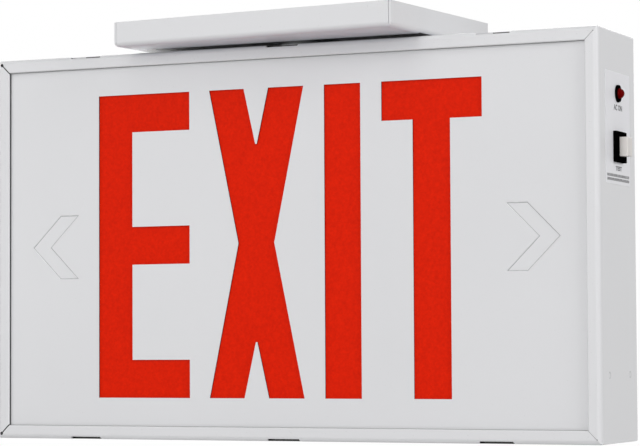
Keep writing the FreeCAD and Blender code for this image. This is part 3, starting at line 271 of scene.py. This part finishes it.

# %% [markdown]
# The slots' cut ends are painted nearly black, apart from the upper outer ones, which hold a tab
# of the painted plate.  So are the walls of the open mitres at the left end, and of the round
# relief at the foot of each.  This is painted shade, for the dark inside these narrow openings.
# They are drawn as bare steel, as if the strip was painted before it was punched: that is a
# guess, and shadow alone could look the same.  The rims of the two dimples on the lap get a
# painted shade too, to make so shallow a form show.

# %% Painted shade on the frame
SLOT_PITCH = HALF_WIDTH - 51.75
SLOT_REACH = 4.6
SLOT_HALF_LENGTH = 9.9
SLOT_DEPTH = 1.25
SLOT_END_SKIN = 0.1
RELIEF_INSET = 2.4 * DIAGONAL
RELIEF_RADIUS = 0.82
MITRE_HALF_GAP = 0.28
LIP_THICKNESS = 1.1
DIMPLE_REACH = 15.35
DIMPLE_DROP = 65.0
DIMPLE_RIM_SQUARED = (1.5, 2.7)
RIM_SHADE = 0.30


def slot_ends(place):
    """1 on the slots' cut ends and what little of the sheet lies near them: painted shade."""
    across, deep, up = place.split()
    at_end = abs(HALF_DEPTH - SLOT_REACH - abs(deep)) < SLOT_END_SKIN
    within = across.repeat(SLOT_PITCH) < SLOT_HALF_LENGTH
    near_edge = abs(up - CENTRE_Z) > HALF_HEIGHT - SLOT_DEPTH
    tab_in_slot = (up > CENTRE_Z) * (abs(across) > SLOT_PITCH / 2)
    return at_end * within * near_edge * (1.0 - tab_in_slot)


def open_mitres(place):
    """1 on the walls of the two open mitres at the left end and of the round relief in each."""
    across, deep, up = place.split()
    past_side = -across - HALF_WIDTH
    past_end = abs(up - CENTRE_Z) - HALF_HEIGHT
    from_mitre = abs((past_side - past_end) / DIAGONAL)
    along_mitre = (past_side + past_end) / DIAGONAL
    from_centre = along_mitre + RELIEF_INSET
    at_face = abs(deep) > HALF_DEPTH - LIP_THICKNESS
    in_mitre = (from_mitre < MITRE_HALF_GAP) * (along_mitre < -RELIEF_INSET)
    squared = from_mitre * from_mitre + from_centre * from_centre
    in_relief = squared < RELIEF_RADIUS * RELIEF_RADIUS
    return at_face * in_mitre.larger(in_relief)


# Painted shade: the slots' ends, the open mitres and the reliefs go nearly black.
def frame_black_shade(place):
    return slot_ends(place).larger(open_mitres(place))


def frame_shading(place):
    """Partly 1 on the dimples' rims, where shade is painted."""
    across, deep, up = place.split()
    beside = abs(deep) - DIMPLE_REACH
    below = up - (CENTRE_Z - DIMPLE_DROP)
    from_middle = beside * beside + below * below
    on_rim = from_middle.band(*DIMPLE_RIM_SQUARED, 0.3)
    return (across > HALF_WIDTH - 1.0) * on_rim * RIM_SHADE


print("slots every", round(SLOT_PITCH, 2), "mm; dimples", 2 * DIMPLE_REACH, "mm apart")

# %% [markdown]
# The face plate slides in behind the lips.  Little light gets into such a joint, but these lamps
# leave it too pale, so a dark line of painted shade runs along it.  The fine dark line at the
# foot of each half-sheared chevron's sloping edge is painted shade in the same way.  The walls
# of the legend's openings are painted nearly black, as painted shade in the cut.  The walls of
# the legend's openings are drawn as bare metal, as if it was cut after painting, which is a guess
# again.

# %% Painted shade on the face plate
LIP = 6.6
LEGEND_REACH = HALF_WIDTH - 50.0
CUT_START = 0.12
CHEVRON_TIP = HALF_WIDTH - 19.5
CHEVRON_BAND = 11.4
CHEVRON_HALF_HEIGHT = 16.4
CHEVRON_SLOPE = 0.6
JOINT_FADE = (-0.35, 0.20)
JOINT_SHADE = 0.95
CHEVRON_FOOT_SHADE = 0.50


def joint_shading(place):
    """0 on the open face, rising to 1 where the plate goes under the lips."""
    across, _, up = place.split()
    beside = (abs(across) - (HALF_WIDTH - LIP)).rise(*JOINT_FADE)
    above = (abs(up - CENTRE_Z) - (HALF_HEIGHT - LIP)).rise(*JOINT_FADE)
    return beside.larger(above)


def chevron_foot_shade(place):
    """1 along the foot of each chevron's sloping edge, where a line of shade is painted."""
    across, _, up = place.split()
    level = abs(up - CENTRE_Z)
    reach = abs(across) + level
    half_band = CHEVRON_BAND / 2 / DIAGONAL
    from_side = half_band - abs((reach - (CHEVRON_TIP - CHEVRON_BAND / 2)) / DIAGONAL)
    inside = from_side.smaller(CHEVRON_HALF_HEIGHT - level)
    return inside.band(CHEVRON_SLOPE - 0.28, CHEVRON_SLOPE + 0.02, 0.06)


def face_black_shade(place):
    """1 on the walls of the legend's openings, which get a painted shade."""
    across, deep, _ = place.split()
    behind_front = deep > PLATE_FRONT + CUT_START
    return behind_front * (abs(across) < LEGEND_REACH)


def face_shading(place):
    return joint_shading(place) * JOINT_SHADE + chevron_foot_shade(place) * CHEVRON_FOOT_SHADE


print("chevron tips", round(CHEVRON_TIP, 2), "mm from the middle")

# %% [markdown]
# The canopy is a shallow pan.  Its floor faces down and is painted darker and cooler than its
# sides, which is painted shade and not a known trait of the real coat; its cool tone offsets a
# reddish cast that it has here, perhaps light from the legend.  Over the housing only a narrow
# gap is left, and there the floor is painted nearly black, because the lamps alone leave that gap
# too grey.  That patch stands in for a shadow, and isn't a black place on the real floor.

# %% Painted shade on the canopy
FLOOR_BEND = 1.2
FLOOR_SKIN = 0.3
COOL_FLOOR_SHADE = (0.66, 0.69, 0.745)


def canopy_floor_shade(place):
    """1 on the pan's floor, fading out over its bends: where its shade is painted."""
    _, _, up = place.split()
    return 1.0 - (up - CANOPY_FLOOR).rise(0.0, FLOOR_BEND)


def canopy_gap(place):
    """1 on the part of the pan's floor that the housing hides but for a narrow gap."""
    _, deep, up = place.split()
    return (abs(deep) < HALF_DEPTH - 1.0) * (up < CANOPY_FLOOR + FLOOR_SKIN)


print("canopy floor at z =", round(CANOPY_FLOOR, 2), "mm")

# %% [markdown]
# The enamel itself is one function.  Its tone drifts over some 80 mm and its peel has waves of
# about 2 mm, and a few faint specks are added.  Four separate materials could repeat all that,
# but then a change of tone would have to be made four times.

# %% White enamel
DARK_GREY = (0.10, 0.10, 0.10)
NEAR_BLACK = (0.012, 0.012, 0.012)


def white_enamel(slot, black=None, shade_mask=None, shade_colour=DARK_GREY):
    """The enamel, with painted shade: nearly black under black, shade_colour under shade_mask."""
    made = finish(slot, IOR=1.5)
    drift = made.place.noise(0.012, 2.0)
    peel = made.place.noise(0.55, 2.0)
    grain = made.place.noise(2.6, 1.0)
    tone = drift.between(colour(0.800, 0.802, 0.820), colour(0.838, 0.839, 0.856))
    specks = made.place.noise(1.7, 0.0).rise(0.80, 0.84)
    coat = (specks * 0.35).between(tone, colour(0.60, 0.60, 0.61))
    # Painted shade: darker or nearly black, by place.
    if shade_mask:
        coat = shade_mask(made.place).between(coat, colour(*shade_colour))
    if black:
        coat = black(made.place).between(coat, colour(*NEAR_BLACK))
    made.vary("Base Color", coat)
    made.vary("Roughness", 0.20 + drift * 0.06 + grain * 0.03)
    made.bump(peel * 0.8 + grain * 0.2, 0.010)


white_enamel("white_enamel")
# These three carry painted shade in their colour.
white_enamel("white_enamel_frame", black=frame_black_shade, shade_mask=frame_shading)
white_enamel("white_enamel_face", black=face_black_shade, shade_mask=face_shading)
white_enamel("white_enamel_canopy", black=canopy_gap, shade_mask=canopy_floor_shade, shade_colour=COOL_FLOOR_SHADE)
print("made:", sorted(FINISHES))

# %% [markdown]
# ## The red panel and the lamp's lens
#
# Behind the legend lies a translucent red sheet with a fine pebbled grain.  It could be made
# with transmission, with the lit boards behind it, but the sign is taken to be off, and a sheet
# over a dark chamber shows only its own colour.  So it is opaque, with a mottled base colour.
# The lamp's lens is deep red, and smoother.  The sheen of both is turned far down: on real
# acrylic the specular level stays at 0.5, and a real lens has an index of about 1.5, not 1.07.

# %% Red panel
def red_acrylic():
    made = finish("red_acrylic", IOR=1.49, Specular_IOR_Level=0.06)
    pebble = made.place.cells(1.1)
    mottle = made.place.noise(0.35, 3.0, 0.6)
    fine = made.place.noise(0.9, 2.0)
    red = (mottle * 0.4 + fine * 0.6).between(colour(0.64, 0.008, 0.0004),
                                              colour(1.00, 0.024, 0.0014))
    made.vary("Base Color", red)
    made.vary("Roughness", 0.34 + fine * 0.16)
    made.bump(pebble * 0.6 + fine * 0.4, 0.05)


def red_lens():
    made = finish("red_lens", IOR=1.07)
    haze = made.place.noise(0.8, 1.0)
    made.vary("Base Color", haze.between(colour(0.12, 0.0003, 0.0002),
                                         colour(0.18, 0.0006, 0.0004)))
    made.vary("Roughness", 0.05 + haze * 0.03)


red_acrylic()
red_lens()
print("made:", sorted(FINISHES))

# %% [markdown]
# ## Metals
#
# The hanging hardware is zinc plated, so its tone shifts between the crystals of the plating.
# Sheared and turned pieces carry fine lines, and spring steel is darker and duller.  Plated
# pieces differ only in numbers, so one function makes them all.  The transformer's core is a
# stack of thin sheets, whose seams are far too many to model: they are bump.

# %% Zinc, spring steel, brass, laminations and cans
def plated(slot, dark, light, roughness, crystal, lines):
    """A plated metal: crystal gives the size of its grains per mm, lines the depth of its
    drawn lines."""
    made = finish(slot, Metallic=1.0)
    grain = made.place.cells(crystal, "Color").split()[0]
    stroke = (made.place * (0.15, 4.0, 4.0)).noise(1.2, 3.0)
    worn = made.place.noise(0.09, 3.0)
    made.vary("Base Color", (grain * 0.5 + worn * 0.5).between(dark, light))
    made.vary("Roughness", roughness + stroke * 0.14 + worn * 0.08)
    made.bump(stroke, lines)


LAMINATION = 0.5
CAN_TOP = 8.0


def core_iron():
    made = finish("core_iron", Metallic=0.6)
    _, _, up = made.place.split()
    seams = 1.0 - up.repeat(LAMINATION).rise(0.03, 0.10)
    rust = made.place.noise(0.5, 4.0)
    made.vary("Base Color", rust.between(colour(0.045, 0.038, 0.034), colour(0.13, 0.10, 0.08)))
    made.vary("Roughness", 0.45 + rust * 0.25)
    made.bump(seams * -1.0 + rust * 0.2, 0.08)


def capacitor_can():
    made = finish("capacitor_can")
    _, deep, _ = made.place.split()
    top = deep.rise(CAN_TOP - 0.1, CAN_TOP + 0.1)
    stripe = made.place.noise(0.25, 2.0)
    made.vary("Base Color", top.between(colour(0.02, 0.03, 0.09), colour(0.62, 0.63, 0.64)))
    made.vary("Metallic", top)
    made.vary("Roughness", 0.30 + stripe * 0.12)
    made.bump(stripe, 0.03)


plated("zinc_steel", colour(0.46, 0.47, 0.49), colour(0.70, 0.71, 0.72), 0.26, 0.45, 0.010)
plated("spring_steel", colour(0.25, 0.25, 0.26), colour(0.40, 0.40, 0.41), 0.36, 0.9, 0.008)
plated("brass_post", colour(0.55, 0.38, 0.14), colour(0.76, 0.57, 0.25), 0.24, 1.3, 0.006)
core_iron()
capacitor_can()
print("made:", sorted(FINISHES))

# %% [markdown]
# ## Plastics and rubber
#
# Moulded pieces take the faint grain of their mould, and they differ in shade, gloss and how
# coarse that grain is, so again one function makes them all.  The black bezels on the side wall
# have no sheen at all.  That takes an index of refraction of 1, which isn't real: such plastics
# have about 1.5, and would show a highlight.

# %% Moulded plastics and rubber
def moulded(slot, shade, roughness, grain, depth, spread=0.12, index=1.48):
    """A moulded piece: grain is how many features of texture fit in a millimetre."""
    made = finish(slot, IOR=index)
    drift = made.place.noise(0.06, 2.0)
    texture = made.place.noise(grain, 2.0)
    low = colour(*(value * (1.0 - spread) for value in shade))
    high = colour(*(min(1.0, value * (1.0 + spread)) for value in shade))
    made.vary("Base Color", (drift * 0.6 + texture * 0.4).between(low, high))
    made.vary("Roughness", roughness + texture * 0.10)
    made.bump(texture, depth)


moulded("green_screw_paint", (0.03, 0.26, 0.08), 0.28, 0.8, 0.01)
moulded("black_nylon", (0.018, 0.018, 0.019), 0.48, 3.0, 0.02)
moulded("black_rubber", (0.020, 0.020, 0.020), 0.62, 2.0, 0.03)
moulded("black_component", (0.022, 0.022, 0.024), 0.45, 4.0, 0.01)
moulded("relay_case", (0.05, 0.16, 0.42), 0.28, 1.5, 0.01)
moulded("terminal_green", (0.04, 0.26, 0.08), 0.36, 2.0, 0.01)
moulded("socket_nylon", (0.76, 0.72, 0.60), 0.46, 2.0, 0.01)
moulded("white_plastic", (0.80, 0.765, 0.735), 0.30, 2.5, 0.008, spread=0.02)
moulded("black_holder", (0.0016, 0.0015, 0.0015), 0.30, 2.5, 0.004, index=1.0)
print("made:", sorted(FINISHES))

# %% [markdown]
# ## The works inside
#
# The boards have solder mask over a pattern of copper tracks.  Real tracks follow a circuit, but
# no one can read these, so they are stripes that large random cells switch on and off.  Each lamp
# chip has a yellow well of phosphor in a white case, the winding is wrapped in tape, and the
# battery's shrink sleeve is tight, slightly rippled and closed by paler ends.  None of this shows
# from outside, so it is all a guess from products of this kind.

# %% Boards
def laminate(slot, mask, track, pitch):
    """Solder mask over tracks that run along X and Z at the given pitch in millimetres."""
    made = finish(slot, IOR=1.52)
    across, _, up = made.place.split()
    choice = made.place.cells(0.09, "Color").split()[0]
    along = 1.0 - up.repeat(pitch).rise(pitch * 0.16, pitch * 0.24)
    upright = 1.0 - across.repeat(pitch * 1.7).rise(pitch * 0.16, pitch * 0.24)
    tracks = along * (choice > 0.5) + upright * (choice < 0.4)
    weave = made.place.noise(1.4, 2.0)
    made.vary("Base Color", (tracks * 0.8 + weave * 0.15).between(mask, track))
    made.vary("Roughness", 0.26 + weave * 0.10)
    made.bump(tracks * 0.8 + weave * 0.2, 0.03)


laminate("green_laminate", colour(0.006, 0.10, 0.030), colour(0.030, 0.26, 0.075), 2.54)
laminate("white_laminate", colour(0.78, 0.79, 0.77), colour(0.66, 0.68, 0.66), 5.0)
print("made:", sorted(FINISHES))

# %% Lamp chips, winding and battery sleeve
CHIP_PITCH = 23.0
WELL_RADIUS = 2.0
TURN_PITCH = 6.0
SLEEVE_LEFT = -117.0
SLEEVE_RIGHT = -73.0


def led_phosphor():
    made = finish("led_phosphor", IOR=1.5)
    across, _, _ = made.place.split()
    span = (across + CHIP_PITCH / 2).repeat(CHIP_PITCH)
    well = 1.0 - span.rise(WELL_RADIUS - 0.1, WELL_RADIUS + 0.1)
    cloud = made.place.noise(1.2, 2.0)
    made.vary("Base Color", (well * (0.85 + cloud * 0.15)).between(
        colour(0.82, 0.81, 0.78), colour(0.86, 0.55, 0.08)))
    made.vary("Roughness", 0.30 + cloud * 0.12)
    made.bump(well * -1.0 + cloud * 0.1, 0.10)


def winding_tape():
    made = finish("winding_tape", IOR=1.5)
    across, _, up = made.place.split()
    turns = 1.0 - (up + across * 0.05).repeat(TURN_PITCH).rise(0.10, 0.35)
    crease = made.place.noise(0.4, 3.0)
    made.vary("Base Color", (crease * 0.6 + turns * 0.4).between(
        colour(0.72, 0.50, 0.04), colour(0.52, 0.33, 0.03)))
    made.vary("Roughness", 0.22 + crease * 0.15)
    made.bump(turns * -0.7 + crease * 0.3, 0.08)


def battery_sleeve():
    made = finish("battery_sleeve", IOR=1.5)
    across, _, _ = made.place.split()
    ends = (across.rise(SLEEVE_RIGHT - 0.2, SLEEVE_RIGHT + 0.2)
            + (1.0 - across.rise(SLEEVE_LEFT - 0.2, SLEEVE_LEFT + 0.2)))
    ripple = (made.place * (0.4, 1.0, 1.0)).noise(0.35, 3.0)
    made.vary("Base Color", (ends + ripple * 0.1).between(
        colour(0.010, 0.060, 0.27), colour(0.03, 0.12, 0.40)))
    made.vary("Roughness", 0.20 + ripple * 0.14)
    made.bump(ripple, 0.12)


led_phosphor()
winding_tape()
battery_sleeve()
print("made:", sorted(FINISHES))

# %% [markdown]
# The leads are pairs of wires, one red and one black, in soft insulation with a few scuffs.  A
# pair is one node, so it takes two materials, which are shared out further below.

# %% Lead insulation
def insulation(slot, shade):
    made = finish(slot, IOR=1.5)
    scuff = made.place.noise(0.7, 3.0)
    made.vary("Base Color", scuff.between(colour(*shade), colour(*(v * 1.5 for v in shade))))
    made.vary("Roughness", 0.36 + scuff * 0.16)
    made.bump(scuff, 0.02)


insulation("lead_insulation", (0.42, 0.020, 0.014))
insulation("lead_insulation_black", (0.012, 0.012, 0.012))
print("made:", sorted(FINISHES))

# %% [markdown]
# ## The side label
#
# A thin satin label, a little bluer than the enamel, goes round the button and the lamp.  Two
# rows of fine print near its lower edge are too small to read: they are rows of short grey
# dashes, not letters.  The dashes could be geometry, but ink has no thickness worth modelling,
# so they are part of the label's colour.

# %% Label
UPPER_ROW = (27.9, 29.2)
LOWER_ROW = (26.0, 27.3)
ROW_REACH = 16.6


def label_paper():
    made = finish("label_paper", IOR=1.5)
    _, deep, up = made.place.split()
    level = up - CENTRE_Z
    rows = level.band(*UPPER_ROW, 0.10) + level.band(*LOWER_ROW, 0.10)
    width = deep.band(-ROW_REACH, ROW_REACH, 0.3)
    strokes = (made.place * (0.0, 1.0, 0.35)).noise(1.9, 1.0).rise(0.42, 0.56)
    ink = rows * width * (0.62 + 0.38 * strokes)
    fibre = made.place.noise(0.9, 3.0)
    sheet = fibre.between(colour(0.925, 0.925, 0.960), colour(0.945, 0.945, 0.975))
    made.vary("Base Color", (ink * 0.95).between(sheet, colour(0.05, 0.05, 0.055)))
    made.vary("Roughness", 0.36 + fibre * 0.10)
    made.bump(fibre, 0.006)


def label_ink():
    made = finish("label_ink", IOR=1.5)
    gather = made.place.noise(2.5, 2.0)
    made.vary("Base Color", gather.between(colour(0.05, 0.05, 0.055), colour(0.16, 0.16, 0.17)))
    made.vary("Roughness", 0.40 + gather * 0.10)


label_paper()
label_ink()
print("made:", sorted(FINISHES))

# %% [markdown]
# ## Put the finishes on the CAD nodes
#
# Every node takes the finish of its slot in the record, or that finish's version for the node.
# The record is the one list of what each piece is made of, so no second list is kept here.

# %% Assign the finishes
SLOT_OF = {row["node"]: row["material_slot"] for row in frame["record"]["subparts"]}
OWN_VERSION = {"housing_frame": "white_enamel_frame", "face_plate": "white_enamel_face",
               "canopy": "white_enamel_canopy"}
for name, node in NODES.items():
    node.data.materials.clear()
    node.data.materials.append(FINISHES[OWN_VERSION.get(name, SLOT_OF[name])])
print("slots in use:", len(set(SLOT_OF.values())))

# %% [markdown]
# Each wire of a pair is an island of its node's mesh: no edge joins it to the other.  The islands
# could be picked by position, but wires cross, so the script walks from vertex to vertex instead
# and gives every second island the black insulation.  The walk runs on a copy whose doubled
# vertices are merged, so the node's own mesh isn't changed.

# %% Colour the wires
TOUCHING = 1e-7


def islands(mesh):
    """The number of the island that each polygon of a mesh belongs to."""
    work = bmesh.new()
    work.from_mesh(mesh)
    bmesh.ops.remove_doubles(work, verts=work.verts, dist=TOUCHING)
    seats = {tuple(round(v, 7) for v in vert.co): vert.index for vert in work.verts}
    work.verts.ensure_lookup_table()
    group = {}
    for vert in work.verts:
        if vert.index in group:
            continue
        group[vert.index] = number = len(set(group.values()))
        edge = [vert]
        while edge:
            for link in edge.pop().link_edges:
                for other in link.verts:
                    if other.index not in group:
                        group[other.index] = number
                        edge.append(other)
    points = [(Vector(key), group[index]) for key, index in seats.items()]
    work.free()
    return [min(points, key=lambda p: (p[0] - mesh.vertices[face.vertices[0]].co).length)[1]
            for face in mesh.polygons]


for name in ("battery_leads", "led_leads", "switch_leads", "lamp_leads"):
    mesh = NODES[name].data
    mesh.materials.append(FINISHES["lead_insulation_black"])
    numbers = islands(mesh)
    for face, number in zip(mesh.polygons, numbers):
        face.material_index = number % 2
    print(name, "has", len(set(numbers)), "wires")

# %% [markdown]
# ## Print on the label
#
# Two plain captions tell the lamp from the button.  Letters could be painted into the label's
# material only with an image, so they are Blender's own text objects: flat, 0.02 mm off the
# label, turned to face +X, and fattened a little, as printed letters are.

# %% Captions
CAP_HEIGHT = 0.73  # height of a capital letter in a text of size 1
INK_THICKNESS = 0.00001
INK_SPREAD = 0.00012


def caption(name, words, height, middle_y, base_z, width):
    """Words on the right wall, read from the right, of a cap height in metres."""
    text = bpy.data.curves.new(name, "FONT")
    text.body = words
    text.size = height / CAP_HEIGHT
    text.align_x = "CENTER"
    text.extrude = INK_THICKNESS
    text.offset = INK_SPREAD
    piece = bpy.data.objects.new(name, text)
    bpy.context.scene.collection.objects.link(piece)
    bpy.context.view_layer.update()
    stretch = width / piece.dimensions.x
    turn = Matrix(((0, 0, 1), (1, 0, 0), (0, 1, 0))).to_4x4()
    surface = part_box("side_label")[1].x + 2 * INK_THICKNESS
    piece.matrix_world = (Matrix.Translation((surface, middle_y, base_z)) @ turn
                          @ Matrix.Diagonal((stretch, 1, 1, 1)))
    text.materials.append(FINISHES["label_ink"])
    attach(piece, "housing")
    return piece


lamp_caption = caption("lamp_caption", "AC ON", 0.0026, 0.0005, (CENTRE_Z + 59.6) / MM, 0.0125)
test_caption = caption("test_caption", "TEST", 0.0020, 0.0008, (CENTRE_Z + 31.1) / MM, 0.0090)
print("captions:", [tuple(round(MM * v, 1) for v in p.dimensions)
                    for p in (lamp_caption, test_caption)])

# %% [markdown]
# ## Camera
#
# The camera stands about 1.25 m away, to the reader's right and a little below the sign's
# middle, with a long lens.  It could track an empty at the sign, but then it couldn't look past
# it: three angles place the sign in the view exactly.

# %% Camera
def aim(eye, turn_left, tilt_up, roll):
    """A camera's matrix from its place and three angles in radians."""
    ahead = Vector((-math.sin(turn_left) * math.cos(tilt_up),
                    math.cos(turn_left) * math.cos(tilt_up), math.sin(tilt_up)))
    right = Vector((math.cos(turn_left), math.sin(turn_left), 0.0))
    up = right.cross(ahead)
    level = math.cos(roll) * right + math.sin(roll) * up
    upright = math.cos(roll) * up - math.sin(roll) * right
    turned = Matrix((level, upright, -ahead)).transposed()
    return Matrix.Translation(eye) @ turned.to_4x4()


EYE = Vector((0.53006, -1.13354, CENTRE_Z / MM - 0.05094))
TURN_LEFT = 0.432
TILT_UP = 0.049
ROLL = -0.005
LENS = 141.53

camera_data = bpy.data.cameras.new("camera")
camera_data.sensor_width = 36.0
camera_data.lens = LENS
camera_data.clip_start = 0.05
camera = bpy.data.objects.new("camera", camera_data)
bpy.context.scene.collection.objects.link(camera)
camera.matrix_world = aim(EYE, TURN_LEFT, TILT_UP, ROLL)
bpy.context.scene.camera = camera
print("camera at", [round(v, 3) for v in camera.location], "lens", camera_data.lens)

# %% [markdown]
# ## Studio
#
# The sign hangs over a plain pale floor, far enough below it that its shadow is soft.  A ceiling
# is left out: it would block the light and hide the top.  Little light reaches the floor, so it
# looks grey in views from above and from behind, though its colour is pale.

# %% Floor
def pale_floor(level, half):
    mesh = bpy.data.meshes.new("floor")
    corners = [(-half, -half), (half, -half), (half, half), (-half, half)]
    mesh.from_pydata([(x, y, level) for x, y in corners], [], [(0, 1, 2, 3)])
    floor = bpy.data.objects.new("floor", mesh)
    bpy.context.scene.collection.objects.link(floor)
    made = Finish("pale_floor", Roughness=0.8)
    made.vary("Base Color", made.place.noise(0.002, 3.0).between(colour(0.80, 0.80, 0.80),
                                                                 colour(0.84, 0.84, 0.84)))
    mesh.materials.append(made.material)
    return floor


FLOOR_LEVEL = -2.5
FLOOR_HALF = 5.0
pale_floor(FLOOR_LEVEL, FLOOR_HALF)
print("floor at z =", FLOOR_LEVEL)

# %% [markdown]
# The world is white to the camera and in reflections, and dimmer as a source of light, so that
# the background stays white while the lamps shape the faces.  A single white world would light
# every face alike, and the folds would vanish.

# %% World
AMBIENT = 0.28


def white_world():
    world = bpy.data.worlds.new("studio")
    bpy.context.scene.world = world
    world.use_nodes = True
    tree = world.node_tree
    tree.nodes.clear()
    rays = tree.nodes.new("ShaderNodeLightPath")
    camera_ray, glossy_ray, through_ray = (
        Flow(tree, rays.outputs[name])
        for name in ("Is Camera Ray", "Is Glossy Ray", "Is Transmission Ray"))
    seen = camera_ray + glossy_ray + through_ray
    dim = seen.node("ShaderNodeBackground", {"Color": colour(1, 1, 1), "Strength": AMBIENT})
    bright = seen.node("ShaderNodeBackground", {"Color": colour(1, 1, 1), "Strength": 1.0})
    mixed = seen.node("ShaderNodeMixShader", {0: seen, 1: dim, 2: bright})
    target = tree.nodes.new("ShaderNodeOutputWorld")
    tree.links.new(mixed.socket, target.inputs["Surface"])


white_world()
print("ambient strength:", AMBIENT)

# %% [markdown]
# Seven large square lamps stand round the sign, and an eighth hangs below it and lights the
# floor.  They are large because a small lamp throws a hard shadow of the canopy onto the lip
# under it.  The front ones light the face; the one on the right sets the tone of the side wall,
# and the low one keeps the canopy's floor from going dark.

# %% Lamps
def soft_lamp(name, eye, look, size, power):
    data = bpy.data.lights.new(name, "AREA")
    data.shape = "SQUARE"
    data.size = size
    data.energy = power
    lamp = bpy.data.objects.new(name, data)
    bpy.context.scene.collection.objects.link(lamp)
    lamp.location = eye
    lamp.rotation_euler = (Vector(look) - Vector(eye)).to_track_quat("-Z", "Y").to_euler()
    return lamp


MIDDLE = (0.0, 0.0, CENTRE_Z / MM)
soft_lamp("key", (0.1, -1.7, 1.6), MIDDLE, 1.4, 5.6)
soft_lamp("front", (0.1, -2.2, 0.5), MIDDLE, 1.2, 11.6)
soft_lamp("front_left", (-1.5, -1.7, 0.4), MIDDLE, 1.2, 4.8)
soft_lamp("right", (2.1, -0.5, 0.7), MIDDLE, 1.0, 17.5)
soft_lamp("low", (0.3, -2.0, -0.9), MIDDLE, 1.2, 6.0)
soft_lamp("left", (-2.1, 0.3, 0.5), MIDDLE, 1.2, 3.5)
soft_lamp("back", (-0.8, 2.1, 0.7), MIDDLE, 1.2, 14.0)
soft_lamp("below", (0.0, 0.0, -1.0), (0.0, 0.0, FLOOR_LEVEL), 2.5, 14.0)
bpy.context.scene.view_settings.view_transform = "Standard"
